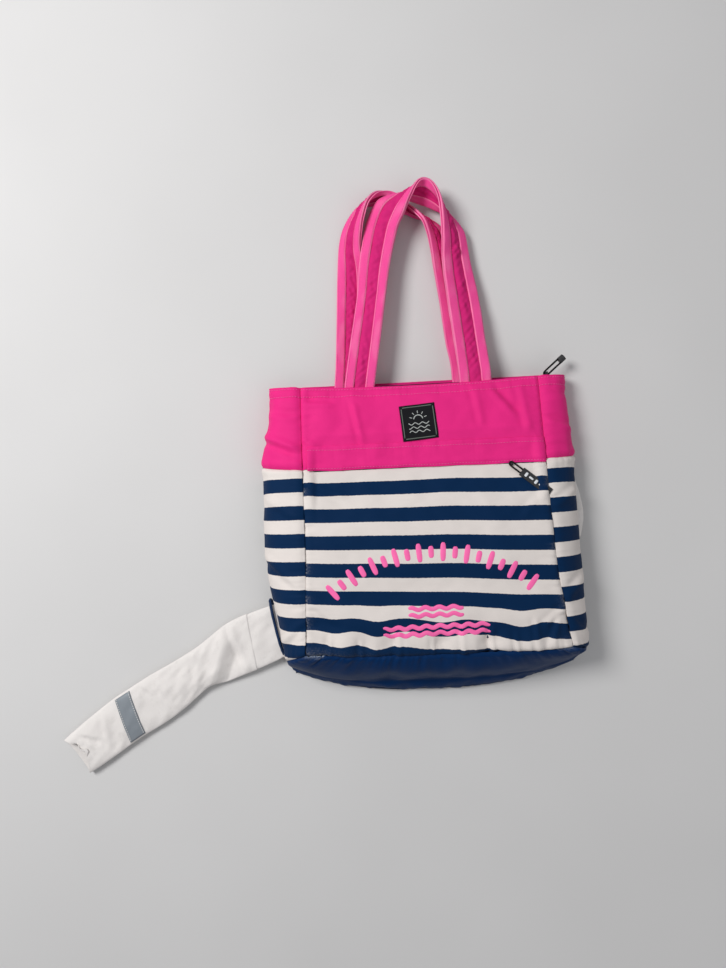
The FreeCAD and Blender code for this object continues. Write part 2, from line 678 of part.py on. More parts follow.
def handles():
    strips = (("inner_webbing", "strap_inner_arc", "strap_inner_arc + webbing_width", "webbing_thick"),
              ("pad", "strap_inner_arc + webbing_width",
               "strap_inner_arc + webbing_width + pad_width", "strap_thick"),
              ("outer_webbing", "strap_inner_arc + webbing_width + pad_width",
               "strap_inner_arc + 2 * webbing_width + pad_width", "webbing_thick"))
    for name, tilt in (("front", "front_handle_tilt"), ("back", "0")):
        place = (f"placement(vector({name}_handle_x; handle_pivot_y; {name}_handle_z);"
                 f" rotation(vector(1; 0; 0); -1 * {tilt}))")
        for strip, inner, outer, thick in strips:
            body = new_body(f"{name}_handle_{strip}")
            arch(body, f"{name}_{strip}_strap", inner, outer, thick)
            bind(body, "Placement", place)


# ---------------------------------------------------------------- stick sleeve

# In the upper length's frame X runs out of the slot and Y down along it.
UPPER_OUTLINE = [("0.5", "-1 * exit_half"), ("87.5", "-13.3"), ("108.9", "64"), ("0.5", "exit_half")]
UPPER_HOLE = [("-3", "-28.8"), ("92", "-11.6"), ("112", "62.4"), ("-3", "28.8")]
# In the lower length's frame X runs along the sleeve to its end and Y across it.
LOWER_OUTLINE = [("-28", "-28"), ("187.7", "-25.3"), ("189", "25.2"), ("29", "28")]
LOWER_HOLE = [("-34", "-26.6"), ("186.3", "-24"), ("187.6", "23.9"), ("23", "26.6")]


def tube(label, outline, hole, placement):
    """A flattened tube: a slab with a flat hollow through it."""
    body = new_body(label)
    pad(body, label + "_outside", "XY_Plane", outline, "sleeve_thick")
    cut(body, label + "_inside", "XY_Plane", hole, "sleeve_thick - 2 * sleeve_wall",
        "sleeve_thick - sleeve_wall")
    bind(body, "Placement", placement)
    return body


def sleeve():
    upper = ("placement(vector(exit_x; exit_y; exit_z); rotation(vector(0; 0; 1); 180 + exit_turn))"
             " * placement(vector(0; 0; 0); rotation(vector(0; 1; 0); sleeve_tilt))"
             " * placement(vector(0; 0; -1 * sleeve_thick / 2); rotation(vector(0; 0; 1); 0))")
    tube("sleeve_upper", UPPER_OUTLINE, UPPER_HOLE, upper)
    lower = ("placement(vector(crease_x; crease_y; lower_z);"
             " rotation(vector(0; 0; 1); 180 + sleeve_turn))")
    tube("sleeve_lower", LOWER_OUTLINE, LOWER_HOLE, lower)
    band = new_body("sleeve_reflector")
    places = [("90", "-27.9"), ("108", "-27.9"), ("136", "27.9"), ("114", "27.9")]
    pad(band, "reflector_outside", "XY_Plane", places, "sleeve_thick + 2 * reflector_skin",
        "-1 * reflector_skin")
    cut(band, "reflector_inside", "XY_Plane", LOWER_OUTLINE, "sleeve_thick", "sleeve_thick")
    bind(band, "Placement", lower)


# ---------------------------------------------------------------- trim

def trim():
    size = "label_size / 2"
    place = (f"{FRONT_FACE} * placement(vector(label_x; -1 * label_drop; 0);"
             " rotation(vector(0; 0; 1); label_turn))")
    label = block("woven_label", (f"-1 * {size}", f"-1 * {size}", "0"),
                  (size, size, "label_thick"), place)
    keep(label, "woven_label")
    rays = []
    count = int(dim("ray_count"))
    for i in range(count):
        share = i / (count - 1) - 0.5
        place = (f"{LOWER_FRONT} * placement(vector(0; print_arc_drop - print_arc; 0);"
                 f" rotation(vector(0; 0; 1); {-share} * print_spread))")
        rays.append(block(f"ray_{i}", ("-1 * ray_width / 2", "print_arc - ray_length", "0"),
                          ("ray_width / 2", "print_arc", "print_thick"), place))
    for number, (drop, half) in enumerate((("58", "31"), ("79", "60"))):
        rays.append(block(f"wave_{number}", (f"-1 * {half}", f"-1 * {drop} - 3", "0"),
                          (half, f"-1 * {drop} + 3", "print_thick"), LOWER_FRONT))
    group("front_print", rays)


def build():
    gussets()
    front()
    back()
    base()
    inside()
    slot_rim("left_slot_binding", -1, "left_slot_top", "left_slot_foot", "mid", "foot", "1", "1.4")
    slot_rim("right_slot_lip", 1, "right_slot_top", "right_slot_foot", "seam", "mid", "5", "1.6")
    facings()
    pocket_zip()
    main_zip()
    handles()
    sleeve()
    trim()
    doc.recompute()


def check():
    faults = []
    for item in doc.Objects:
        if "Invalid" in item.State or "Error" in item.State:
            faults.append(f"{item.Label}: {item.State}")
    for item in parts:
        if item.Shape.isNull() or not item.Shape.isValid() or item.Shape.Volume <= 0:
            faults.append(f"{item.Label}: bad shape")
    if faults:
        raise RuntimeError("; ".join(faults))


def write():
    os.makedirs("parts", exist_ok=True)
    for item in parts:
        item.Shape.exportStep(f"parts/{item.Label}.step")


build()
check()
write()
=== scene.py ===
import math
import bmesh
import bpy
import numpy as np
from mathutils import Euler, Matrix, Vector
from mathutils.bvhtree import BVHTree


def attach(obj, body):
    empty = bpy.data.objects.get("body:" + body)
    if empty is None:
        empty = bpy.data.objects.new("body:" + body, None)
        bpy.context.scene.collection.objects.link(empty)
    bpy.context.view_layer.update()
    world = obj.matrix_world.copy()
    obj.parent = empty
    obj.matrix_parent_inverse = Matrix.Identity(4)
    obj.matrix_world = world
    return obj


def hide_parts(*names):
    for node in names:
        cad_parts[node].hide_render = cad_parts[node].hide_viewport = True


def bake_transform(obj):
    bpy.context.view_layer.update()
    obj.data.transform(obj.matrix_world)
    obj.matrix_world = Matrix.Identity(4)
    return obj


# A beach tote lying on its back: +Z out of its front, +Y towards the mouth and handles.
# Shapes are laid out in millimetres and turned into metres when a mesh is made.

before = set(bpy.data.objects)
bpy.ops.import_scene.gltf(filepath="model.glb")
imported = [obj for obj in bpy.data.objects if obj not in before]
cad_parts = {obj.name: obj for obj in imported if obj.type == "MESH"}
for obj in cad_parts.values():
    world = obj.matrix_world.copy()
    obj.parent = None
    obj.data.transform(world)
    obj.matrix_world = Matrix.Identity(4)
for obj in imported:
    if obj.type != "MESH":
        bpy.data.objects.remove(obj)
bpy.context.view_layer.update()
scene = bpy.context.scene
scene.view_settings.view_transform = "Standard"
MM = 0.001                          # lengths in this file are in mm, in a mesh in metres
SEED = 7
LOWEST = 0.0002                     # metres: nothing in a mesh comes nearer the floor
SOFT_TOP, TOP_ROOM = 63, 7.5        # mm: cloth above the first is held within the second

# ---------------------------------------------------------------- camera, light, floor


def add_camera():
    data = bpy.data.cameras.new("Camera")
    data.sensor_width = 36.0
    data.lens = 27.04
    camera = bpy.data.objects.new("Camera", data)
    scene.collection.objects.link(camera)
    camera.location = (-0.0735, 0.0572, 0.872)
    camera.rotation_euler = Euler((0, 0, math.radians(-3.0)))
    scene.camera = camera


def add_area(name, place, target, size, power):
    data = bpy.data.lights.new(name, "AREA")
    data.shape, data.size, data.energy = "DISK", size, power
    lamp = bpy.data.objects.new(name, data)
    scene.collection.objects.link(lamp)
    lamp.location = place
    lamp.rotation_euler = (Vector(target) - Vector(place)).to_track_quat("-Z", "Y").to_euler()


def add_stage():
    world = bpy.data.worlds.new("World")
    scene.world = world
    world.use_nodes = True
    sky = world.node_tree.nodes["Background"].inputs
    sky["Color"].default_value = (0.93, 0.95, 1.0, 1)
    sky["Strength"].default_value = 0.33
    add_area("Key", (-1.15, 0.75, 1.45), (-0.02, 0.02, 0.0), 0.75, 30)
    add_area("Fill", (1.2, -0.6, 1.6), (0, 0, 0), 1.6, 5)
    bpy.ops.mesh.primitive_plane_add(size=40)
    floor = bpy.context.object
    floor.name = "floor"
    floor.location = (0, 0, -0.0004)
    return floor


add_camera()
floor = add_stage()

# ---------------------------------------------------------------- material graphs


class Graph:
    """A node material under construction: every method returns an output socket."""

    def __init__(self, name):
        self.mat = bpy.data.materials.new(name)
        self.mat.use_nodes = True
        self.tree = self.mat.node_tree
        self.tree.nodes.clear()
        out = self.tree.nodes.new("ShaderNodeOutputMaterial")
        self.shader = self.tree.nodes.new("ShaderNodeBsdfPrincipled")
        self.tree.links.new(self.shader.outputs[0], out.inputs[0])

    def put(self, socket, value):
        if isinstance(value, bpy.types.NodeSocket):
            self.tree.links.new(value, socket)
        elif value is not None:
            if hasattr(socket.default_value, "__len__") and not hasattr(value, "__len__"):
                value = (value,) * len(socket.default_value)
            if hasattr(value, "__len__") and len(socket.default_value) == 4 and len(value) == 3:
                value = (*value, 1)
            socket.default_value = value

    def node(self, kind, inputs=(), out=0, **props):
        made = self.tree.nodes.new(kind)
        for key, value in props.items():
            setattr(made, key, value)
        for key, value in dict(inputs).items():
            self.put(made.inputs[key], value)
        return made.outputs[out]

    def math(self, operation, a, b=None, c=None, clamp=False):
        return self.node("ShaderNodeMath", {0: a, 1: b, 2: c}, operation=operation, use_clamp=clamp)

    def times(self, a, b):
        return self.math("MULTIPLY", a, b)

    def sine(self, value, turn):
        return self.math("SINE", self.times(value, turn))

    def split(self, vector):
        made = self.tree.nodes.new("ShaderNodeSeparateXYZ")
        self.put(made.inputs[0], vector)
        return made.outputs

    def place(self, source):
        """Where a point is on its piece, in millimetres: along the fabric, or in space."""
        if source == "object":
            made = self.tree.nodes.new("ShaderNodeTexCoord")
            return self.node("ShaderNodeVectorMath", {0: made.outputs["Object"], "Scale": 1000.0},
                             operation="SCALE")
        return self.node("ShaderNodeAttribute", out=1, attribute_name=source)

    def number(self, name):
        return self.node("ShaderNodeAttribute", out=2, attribute_name=name)

    def noise(self, vector, scale, detail=2.0, rough=0.5):
        return self.node("ShaderNodeTexNoise", {"Vector": vector, "Scale": scale, "Detail": detail,
                                                "Roughness": rough})

    def mix(self, share, a, b, blend="MIX"):
        made = self.tree.nodes.new("ShaderNodeMix")
        made.data_type = "RGBA"
        made.blend_type = blend
        self.put(made.inputs[0], share)
        self.put(made.inputs[6], a)
        self.put(made.inputs[7], b)
        return made.outputs[2]

    def ramp(self, value, low, high):
        return self.node("ShaderNodeMapRange", {"Value": value, "From Min": low, "From Max": high})

    def bump(self, height, distance, strength=1.0, normal=None):
        return self.node("ShaderNodeBump", {"Height": height, "Distance": distance,
                                            "Strength": strength, "Normal": normal})

    def finish(self, inputs):
        for name, value in inputs.items():
            self.put(self.shader.inputs[name], value)
        return self.mat


def weave_height(g, place, pitch, twill=False):
    """Thread relief of a plain or twill weave with threads a pitch apart, from 0 to 1."""
    x, y, _ = g.split(place)
    turn = math.pi / pitch
    if twill:
        ribs = g.sine(g.math("ADD", x, y), turn)
        across = g.sine(g.math("SUBTRACT", x, y), turn * 2)
        wave = g.math("ADD", g.times(ribs, 0.75), g.times(across, 0.25))
    else:
        wave = g.times(g.sine(x, turn), g.sine(y, turn))
    return g.math("MULTIPLY_ADD", wave, 0.5, 0.5)


def shade(colour, by):
    return tuple(min(1.0, c * by) for c in colour)


def cloth(name, colour, pitch=0.5, rough=0.8, sheen=0.02, source="fabric", twill=False,
          relief=0.00008, mottle=0.10, stripes=None, worn=None, stain=None):
    """Woven fabric: thread relief, mottled colour, faded patches, and wear where it is stored."""
    g = Graph(name)
    place = g.place(source)
    weave = weave_height(g, place, pitch, twill)
    fine = g.noise(place, 0.9, 3.0, 0.7)
    final = colour
    if stripes:
        navy, period, share, start = stripes
        wobble = g.math("MULTIPLY_ADD", g.noise(place, 0.35, 2.0), 0.9, -0.45)
        height = g.math("ADD", g.split(place)[1], wobble)
        phase = g.math("DIVIDE", g.math("SUBTRACT", start, height), period)
        inside = g.ramp(g.math("PINGPONG", g.math("SUBTRACT", phase, share / 2), 0.5),
                        share / 2 + 0.006, share / 2 - 0.006)
        final = g.mix(inside, colour, navy)
    broad = g.ramp(g.noise(place, 0.03, 3.0), 0.3, 0.7)
    for share, by in ((g.times(broad, mottle), 0.72), (g.times(g.times(weave, fine), 0.5), 1.3)):
        final = g.mix(share, final, g.mix(1.0, final, (by, by, by), "MULTIPLY"))
    if stain:
        spots = g.ramp(g.noise(place, 0.055, 5.0, 0.7), 0.54, 0.72)
        final = g.mix(g.times(spots, 0.3), final, stain)
    if worn:
        rub = g.times(g.number("wear"), g.ramp(g.noise(place, 0.5, 4.0, 0.7), 0.42, 0.6))
        final = g.mix(g.math("MULTIPLY", rub, 0.7, clamp=True), final, worn)
    cloudy = g.bump(g.noise(place, 0.12, 3.0), 0.0006, 0.35)
    return g.finish({
        "Base Color": final, "Roughness": g.math("MULTIPLY_ADD", fine, 0.16, rough - 0.08),
        "Sheen Weight": sheen * 0.15, "Sheen Roughness": 0.5, "Specular IOR Level": 0.09,
        "Normal": g.bump(weave, relief, 0.8, cloudy)})


def webbing(name, colour):
    """Brushed webbing: ribs across it, a fuzzy face and paler edges."""
    g = Graph(name)
    place = g.place("fabric")
    x, y, _ = g.split(place)
    ribs, rows = [g.math("MULTIPLY_ADD", g.sine(way, 2 * math.pi / pitch), 0.5, 0.5)
                  for way, pitch in ((y, 1.1), (x, 0.9))]
    height = g.math("MULTIPLY_ADD", g.times(ribs, rows), 0.7, g.noise(place, 2.2, 3.0))
    tone = g.ramp(g.noise(place, 0.4, 4.0, 0.65), 0.3, 0.75)
    final = g.mix(g.times(tone, 0.35), colour, shade(colour, 0.72))
    pale = tuple(0.55 * c + 0.45 for c in colour)
    final = g.mix(g.math("MULTIPLY", g.number("wear"), 0.5, clamp=True), final, pale)
    return g.finish({
        "Base Color": final, "Roughness": g.math("MULTIPLY_ADD", tone, 0.1, 0.82),
        "Sheen Weight": 0.04, "Sheen Roughness": 0.4, "Specular IOR Level": 0.1,
        "Normal": g.bump(height, 0.00018, 0.7)})


def moulded(name, colour, rough=0.5, metal=0.0, grain=1.2, relief=0.00004, source="object",
            coat=0.0):
    """Plastic, rubber, lacquered metal or ink: fine grain, scuffs and uneven gloss."""
    g = Graph(name)
    place = g.place(source)
    scuff = g.ramp(g.noise(place, 0.35, 5.0, 0.7), 0.45, 0.7)
    return g.finish({
        "Base Color": g.mix(g.times(scuff, 0.2), colour, tuple(0.8 * c + 0.12 for c in colour)),
        "Metallic": metal, "Coat Weight": coat,
        "Roughness": g.math("MULTIPLY_ADD", scuff, 0.18, rough),
        "Normal": g.bump(g.noise(place, grain, 4.0, 0.6), relief, 0.6)})


PINK = (0.78, 0.022, 0.215)
PALE_PINK = (0.95, 0.085, 0.34)
CREAM = (0.72, 0.66, 0.62)
NAVY = (0.0, 0.0175, 0.064)
BLUE = (0.0, 0.021, 0.088)
WHITE = (0.78, 0.74, 0.71)

STRIPES = (NAVY, 30.9, 0.51, 66.4)      # colour, period, navy's share, top of the first navy band
MATS = {
    "pink": cloth("pink polyester", PINK, 0.5, 0.62, 0.12, mottle=0.25, worn=(0.9, 0.35, 0.55)),
    # The facing's colour is the pink darkened to four fifths: painted shade for the inside of the
    # mouth.
    "pink_shaded_inner": cloth("pink facing, painted shade", shade(PINK, 0.8), 0.5, 0.7, 0.1),
    "pad": cloth("pink strap pad", shade(PINK, 0.8), 0.45, 0.7, 0.2, mottle=0.3),
    "webbing": webbing("pink webbing", PALE_PINK),
    "striped": cloth("striped polyester", CREAM, 0.45, 0.7, 0.15, stripes=STRIPES, mottle=0.2,
                     worn=(0.75, 0.73, 0.70)),
    "blue": cloth("blue coated polyester", BLUE, 0.5, 0.5, 0.1, mottle=0.4, worn=(0.5, 0.55, 0.6)),
    "lining": cloth("navy taffeta", (0.02, 0.028, 0.07), 0.3, 0.55, 0.1),
    "sleeve": cloth("off-white twill", WHITE, 0.55, 0.85, 0.2, twill=True, relief=0.00014,
                    mottle=0.2, stain=(0.50, 0.47, 0.44)),
    "reflector": moulded("reflective tape", (0.22, 0.245, 0.27), 0.5, 0.1, 3.0, 0.00006, "fabric"),
    "binding": cloth("navy binding", (0.012, 0.03, 0.08), 0.6, 0.8, 0.2),
    "tape": cloth("zip tape", (0.012, 0.012, 0.014), 0.7, 0.85, 0.15, source="object"),
    "coil": moulded("nylon coil", (0.015, 0.015, 0.018), 0.4),
    "lacquer": moulded("black lacquer", (0.012, 0.012, 0.013), 0.28, 0.0, 0.8, 0.00002, coat=0.5),
    "cord": cloth("black cord", (0.012, 0.012, 0.013), 0.35, 0.8, 0.2, source="object", twill=True,
                  relief=0.0002),
    "rubber": moulded("black rubber", (0.014, 0.014, 0.016), 0.5, 0.0, 2.0, 0.00005),
    "mark": moulded("white mark", (0.72, 0.74, 0.76), 0.6),
    "label": cloth("black label", (0.010, 0.010, 0.012), 0.32, 0.75, 0.1, twill=True),
    "label_thread": cloth("pale label thread", (0.42, 0.44, 0.42), 0.4, 0.8, 0.1),
    "label_edge": cloth("grey green label edge", (0.13, 0.15, 0.13), 0.4, 0.8, 0.1),
    "print": moulded("pink print", (0.95, 0.13, 0.40), 0.55, 0.0, 1.5, 0.00005, "fabric"),
    "thread": cloth("pink thread", (0.84, 0.10, 0.34), 0.25, 0.7, 0.3, source="object"),
    "pale_thread": cloth("pale thread", (0.72, 0.70, 0.68), 0.25, 0.7, 0.3, source="object"),
    "board": moulded("black board", (0.02, 0.02, 0.022), 0.7),
}


def paint_floor():
    g = Graph("pale floor")
    place = g.place("object")
    floor.data.materials.append(g.finish({
        "Base Color": g.mix(g.noise(place, 0.004, 2.0), (0.60, 0.59, 0.58), (0.66, 0.65, 0.64)),
        "Roughness": g.math("MULTIPLY_ADD", g.noise(place, 0.02), 0.1, 0.75)}))


paint_floor()

# ---------------------------------------------------------------- number helpers


def smooth_curve(xs, ys, at):
    """A smooth curve through (xs, ys), read at the given places; xs rise."""
    xs, ys, at = np.asarray(xs, float), np.asarray(ys, float), np.asarray(at, float)
    flat = ys.reshape(len(xs), -1)
    slope = np.zeros_like(flat)
    slope[1:-1] = (flat[2:] - flat[:-2]) / (xs[2:] - xs[:-2])[:, None]
    slope[0] = (flat[1] - flat[0]) / (xs[1] - xs[0])
    slope[-1] = (flat[-1] - flat[-2]) / (xs[-1] - xs[-2])
    place = np.clip(at.ravel(), xs[0], xs[-1])
    i = np.clip(np.searchsorted(xs, place, side="right") - 1, 0, len(xs) - 2)
    gap = xs[i + 1] - xs[i]
    t = ((place - xs[i]) / gap)[:, None]
    gap = gap[:, None]
    out = ((2 * t**3 - 3 * t**2 + 1) * flat[i] + (t**3 - 2 * t**2 + t) * gap * slope[i]
           + (3 * t**2 - 2 * t**3) * flat[i + 1] + (t**3 - t**2) * gap * slope[i + 1])
    return out.reshape(at.shape + ys.shape[1:])


def resample(grid, rows, cols):
    """A grid of points read at fractional rows and columns, smoothly."""
    count = grid.shape[0]
    first = smooth_curve(np.arange(count), grid.reshape(count, -1), rows)
    first = first.reshape(len(rows), grid.shape[1], grid.shape[2])
    turned = first.transpose(1, 0, 2).reshape(grid.shape[1], -1)
    second = smooth_curve(np.arange(grid.shape[1]), turned, cols)
    return second.reshape(len(cols), len(rows), grid.shape[2]).transpose(1, 0, 2)


def ripple(a, b, size, seed):
    """Smooth seeded noise over two coordinates, about -1 to 1, with features of a given size."""
    count = 14
    rng = np.random.RandomState(SEED + seed)
    out = np.zeros(np.broadcast(a, b).shape)
    for _ in range(count):
        angle = rng.uniform(0, 2 * math.pi)
        turn = 2 * math.pi / (size * rng.uniform(0.7, 1.9))
        out += np.sin(turn * (a * math.cos(angle) + b * math.sin(angle)) + rng.uniform(0, 6.283))
    return out / math.sqrt(count / 2) * 0.6


def wiggle(a, size, seed):
    """The same over one coordinate."""
    count = 9
    rng = np.random.RandomState(SEED + seed)
    out = np.zeros(np.shape(a))
    for _ in range(count):
        out += np.sin(2 * math.pi * a / (size * rng.uniform(0.6, 1.8)) + rng.uniform(0, 6.283))
    return out / math.sqrt(count / 2) * 0.6


def hill(distance, width):
    return np.exp(-(np.asarray(distance) / width) ** 2)


def lengths(points):
    """The distance along a run of points, 0 at the first."""
    return np.concatenate([[0], np.cumsum(np.linalg.norm(np.diff(points, axis=0), axis=1))])


def unit(vectors):
    return vectors / np.maximum(np.linalg.norm(vectors, axis=-1, keepdims=True), 1e-9)


def rounded(angle, flat_across, flat_up):
    """Points of a rounded box, 1 each way; the lower a power, the squarer its sides."""
    c, s = np.cos(angle), np.sin(angle)
    return np.sign(c) * np.abs(c) ** flat_across, np.sign(s) * np.abs(s) ** flat_up


def crease(x, y, fold, margin, dip):
    """The rise along a fold's line in plan, with a dip beside it: depth, shift and width."""
    x0, y0, x1, y1, depth, spread = fold
    size = math.hypot(x1 - x0, y1 - y0)
    run = np.array([x1 - x0, y1 - y0], float) / size
    along = (x - x0) * run[0] + (y - y0) * run[1]
    off = (x - x0) * run[1] - (y - y0) * run[0]
    ends = (np.clip((along + margin) / (2 * margin), 0, 1)
            * np.clip((size + margin - along) / (2 * margin), 0, 1))
    deep, shift, width = dip
    return depth * ends * (hill(off, spread) - deep * hill(off - spread * shift, spread * width))


def spaced(total, step):
    """Places from 0 to total, close together near both ends."""
    edge = np.array((0.0, 0.9, 2.2, 4.0))
    count = max(2, int(round((total - 2 * edge[-1]) / step)) + 1)
    middle = np.linspace(edge[-1], total - edge[-1], count)
    return np.concatenate([edge[:-1], middle, (total - edge[:-1])[::-1]])


def normals_of(points):
    """Unit normals of a grid of points, outwards where its rows go down and columns go right."""
    return unit(np.cross(np.gradient(points, axis=0), np.gradient(points, axis=1)))


def ring_normals(points):
    """Outward unit normals of a grid whose columns close into a ring."""
    around = np.roll(points, -1, 1) - np.roll(points, 1, 1)
    normal = unit(np.cross(np.gradient(points, axis=0), around))
    outwards = ((points - points.mean(axis=1, keepdims=True)) * normal).sum()
    return normal if outwards > 0 else -normal


# ---------------------------------------------------------------- mesh helpers


def new_object(name, verts, faces, material, body=None, slot=None, fabric=None, wear=None,
               lowest=LOWEST, blend=None, fill=None, stands_for=()):
    mesh = bpy.data.meshes.new(name)
    verts = np.asarray(verts, float) * MM
    verts[:, 2] = np.maximum(verts[:, 2], lowest)
    mesh.from_pydata(verts.tolist(), [], faces)
    shape = bmesh.new()
    shape.from_mesh(mesh)
    bmesh.ops.recalc_face_normals(shape, faces=shape.faces)
    shape.to_mesh(mesh)
    shape.free()
    mesh.update()
    mesh.polygons.foreach_set("use_smooth", [True] * len(mesh.polygons))
    if fabric is not None:
        layer = mesh.attributes.new("fabric", "FLOAT_VECTOR", "POINT")
        layer.data.foreach_set("vector", np.asarray(fabric, np.float32).ravel())
    layer = mesh.attributes.new("wear", "FLOAT", "POINT")
    if wear is not None:
        layer.data.foreach_set("value", np.asarray(wear, np.float32).ravel())
    made = bpy.data.objects.new(name, mesh)
    scene.collection.objects.link(made)
    mesh.materials.append(MATS[material])
    if body:
        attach(made, body)
    if blend:
        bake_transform(made)
    if stands_for:
        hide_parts(*stands_for)
    return made


def grid_faces(rows, cols, start=0, wrap=False, flip=False):
    faces = []
    last = cols if wrap else cols - 1
    for r in range(rows - 1):
        for c in range(last):
            d = (c + 1) % cols
            quad = (start + r * cols + c, start + (r + 1) * cols + c,
                    start + (r + 1) * cols + d, start + r * cols + d)
            faces.append(quad[::-1] if flip else quad)
    return faces


def panel_mesh(name, points, thick, material, body, slot=None, fabric=None, wear=None, out=None,
               wrap=False, hole=None, **kept):
    """A closed sheet: the given outer face, the same face moved in by its thickness, and rims."""
    rows, cols, _ = points.shape
    normal = normals_of(points) if out is None else out
    verts = np.concatenate([points.reshape(-1, 3), (points - normal * thick).reshape(-1, 3)])
    count = rows * cols
    faces = grid_faces(rows, cols, wrap=wrap)
    if hole is not None:
        gone = hole.ravel()
        faces = [face for face in faces if not all(gone[v] for v in face)]
    edges = dict.fromkeys(pair for face in faces for pair in zip(face, face[1:] + face[:1]))
    rims = [(b, a, a + count, b + count) for a, b in edges if (b, a) not in edges]
    faces += [tuple(v + count for v in face[::-1]) for face in faces] + rims
    used = sorted({v for face in faces for v in face})
    index = {v: i for i, v in enumerate(used)}
    faces = [tuple(index[v] for v in face) for face in faces]
    if fabric is not None:
        fabric = np.concatenate([fabric.reshape(-1, 3)] * 2)[used]
    if wear is not None:
        wear = np.concatenate([wear.reshape(-1)] * 2)[used]
    return new_object(name, verts[used], faces, material, body, slot, fabric, wear, **kept)


def stitch_row(name, path, normal, material, body, slot, pitch=3.4, length=2.5, width=0.55,
               height=0.35, **kept):
    """Separate stitches along a path of points, lying on a surface with the given normals."""
    path, normal = np.asarray(path, float), np.asarray(normal, float)
    along = lengths(path)
    both = np.concatenate([path, normal], axis=1)
    verts, faces = [], []
    for k in range(int(along[-1] / pitch)):
        first = k * pitch + 0.3
        ends = np.array([[np.interp(place, along, both[:, i]) for i in range(6)]
                         for place in (first, first + length / 2, first + length)])
        up = unit(ends[1, 3:])
        run = unit(ends[2, :3] - ends[0, :3])
        left = np.cross(up, run)
        start = len(verts)
        for point, lift, wide in ((ends[0, :3], -0.1, 0.35), (ends[0, :3] + run * 0.45, 0.75, 0.9),
                                  (ends[1, :3], 1.0, 1.0), (ends[2, :3] - run * 0.45, 0.75, 0.9),
                                  (ends[2, :3], -0.1, 0.35)):
            for sx, sz in ((-1, 0.0), (-0.55, 0.8), (0.55, 0.8), (1, 0.0), (0, -0.5)):
                verts.append(point + left * sx * wide * width / 2
                             + up * (lift * height * (0.35 + 0.65 * sz)))
        faces += grid_faces(5, 5, start, wrap=True, flip=True)
        faces += [tuple(range(start, start + 5)), tuple(range(start + 20, start + 25))[::-1]]
    return new_object(name, verts, faces, material, body, slot, **kept)


def loop_tube(name, path, radius, material, body, slot, stands_for):
    """A round tube along a closed path, with a radius for each point."""
    sides = 8
    tangent = unit(np.roll(path, -1, 0) - np.roll(path, 1, 0))
    side = unit(np.cross(tangent, (1.0, 0, 0)))
    top = np.cross(side, tangent)
    angle = 2 * math.pi * np.arange(sides)[None, :, None] / sides
    verts = path[:, None] + radius[:, None, None] * (side[:, None] * np.cos(angle)
                                                     + top[:, None] * np.sin(angle))
    faces = grid_faces(len(path), sides, wrap=True)
    last = (len(path) - 1) * sides
    faces += [(last + k, k, (k + 1) % sides, last + (k + 1) % sides) for k in range(sides)]
    return new_object(name, verts.reshape(-1, 3), faces, material, body, slot,
                      stands_for=stands_for)

# ---------------------------------------------------------------- free cords come first


def aimed(place, turn, tilt=0.0):
    """A frame at a zip's pull point: X along the pull, Z out of the face."""
    return (Matrix.Translation(Vector(place)) @ Matrix.Rotation(math.radians(tilt), 4, "X")
            @ Matrix.Rotation(math.radians(turn), 4, "Z"))


FACE_TILT = -7.3                    # degrees: how far the upper front slopes
ALPHA = math.radians(-FACE_TILT)


def face_point(x, v, w):
    """A point on the sloping upper front: v up it from the mouth edge, w out of it, in mm."""
    return (x, 172 + v * math.cos(ALPHA) + w * math.sin(ALPHA),
            32 - v * math.sin(ALPHA) + w * math.cos(ALPHA))


MAIN_PULL = aimed((0.148, 0.176, 0.018), 40)
POCKET_PULL = aimed([c * MM for c in face_point(96, -101.82, 0)], -41, FACE_TILT)


def pull_cord(name, aim, reach, bend, level, diameter, body, node):
    """A soft cord folded round the zip pull's post, its two ends side by side."""
    points = [(reach, bend), (6, bend), (-bend, bend), (-bend, -bend), (6, -bend), (reach, -bend)]
    curve = bpy.data.curves.new(name, "CURVE")
    curve.dimensions = "3D"
    spline = curve.splines.new("NURBS")
    spline.points.add(len(points) - 1)
    for point, (x, y) in zip(spline.points, points):
        point.co = (*(aim @ Vector((x * MM, y * MM, level * MM))), 1)
    spline.order_u = 3
    spline.use_endpoint_u = True
    spline.resolution_u = 12
    curve.bevel_depth = diameter / 2
    curve.bevel_resolution = 5
    curve.use_fill_caps = True
    made = bpy.data.objects.new(name, curve)
    scene.collection.objects.link(made)
    curve.materials.append(MATS["cord"])
    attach(made, body)
    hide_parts(node)
    return made


main_cord = pull_cord("main_puller_cord", MAIN_PULL, 21, 2.6, 0.0, 0.0022, "main_pull",
                      "main_zip_puller_cord")
pocket_cord = pull_cord("pocket_puller_cord", POCKET_PULL, 14, 2.4, 2.85, 0.0020, "pocket_pull",
                        "pocket_zip_puller_loop")

# ---------------------------------------------------------------- the bag's shell

# Corner lines of the bag from the mouth (0) by the band seam (1) and mid height (2) to the
# foot (3).
LEVELS = [0, 1, 2, 3]
FRONT_LEFT = [(-140, 172, 32.5), (-141, 76, 45), (-142, -30, 58), (-147, -131, 60.5)]
FRONT_RIGHT = [(134, 171, 32.5), (135.5, 75, 45), (137.5, -30, 58), (151, -136, 59.5)]
RIGHT_FOLD = [(169.5, 172.8, 17), (175, 78, 17), (178, -30, 14), (178, -148, 12)]
LEFT_FOLD = [(-178, 174.6, 17), (-190, 82, 17), (-193.5, -30, 14), (-172.5, -147, 12)]
BACK_RIGHT = [(150, 176, 0.6), (160, 76, 0.6), (165, -30, 0.6), (165, -163, 0.6)]
BACK_LEFT = [(-150, 176, 0.6), (-160, 76, 0.6), (-165, -30, 0.6), (-164, -161, 0.6)]
MOST_SWELL = 5.0                    # how far the simulation may move a point
FRONT_COLS, SIDE_COLS, BAND_ROWS, PANEL_ROWS, BASE_ROWS = 58, 16, 20, 44, 14


def edge_at(keys, t):
    return smooth_curve(LEVELS, keys, t)


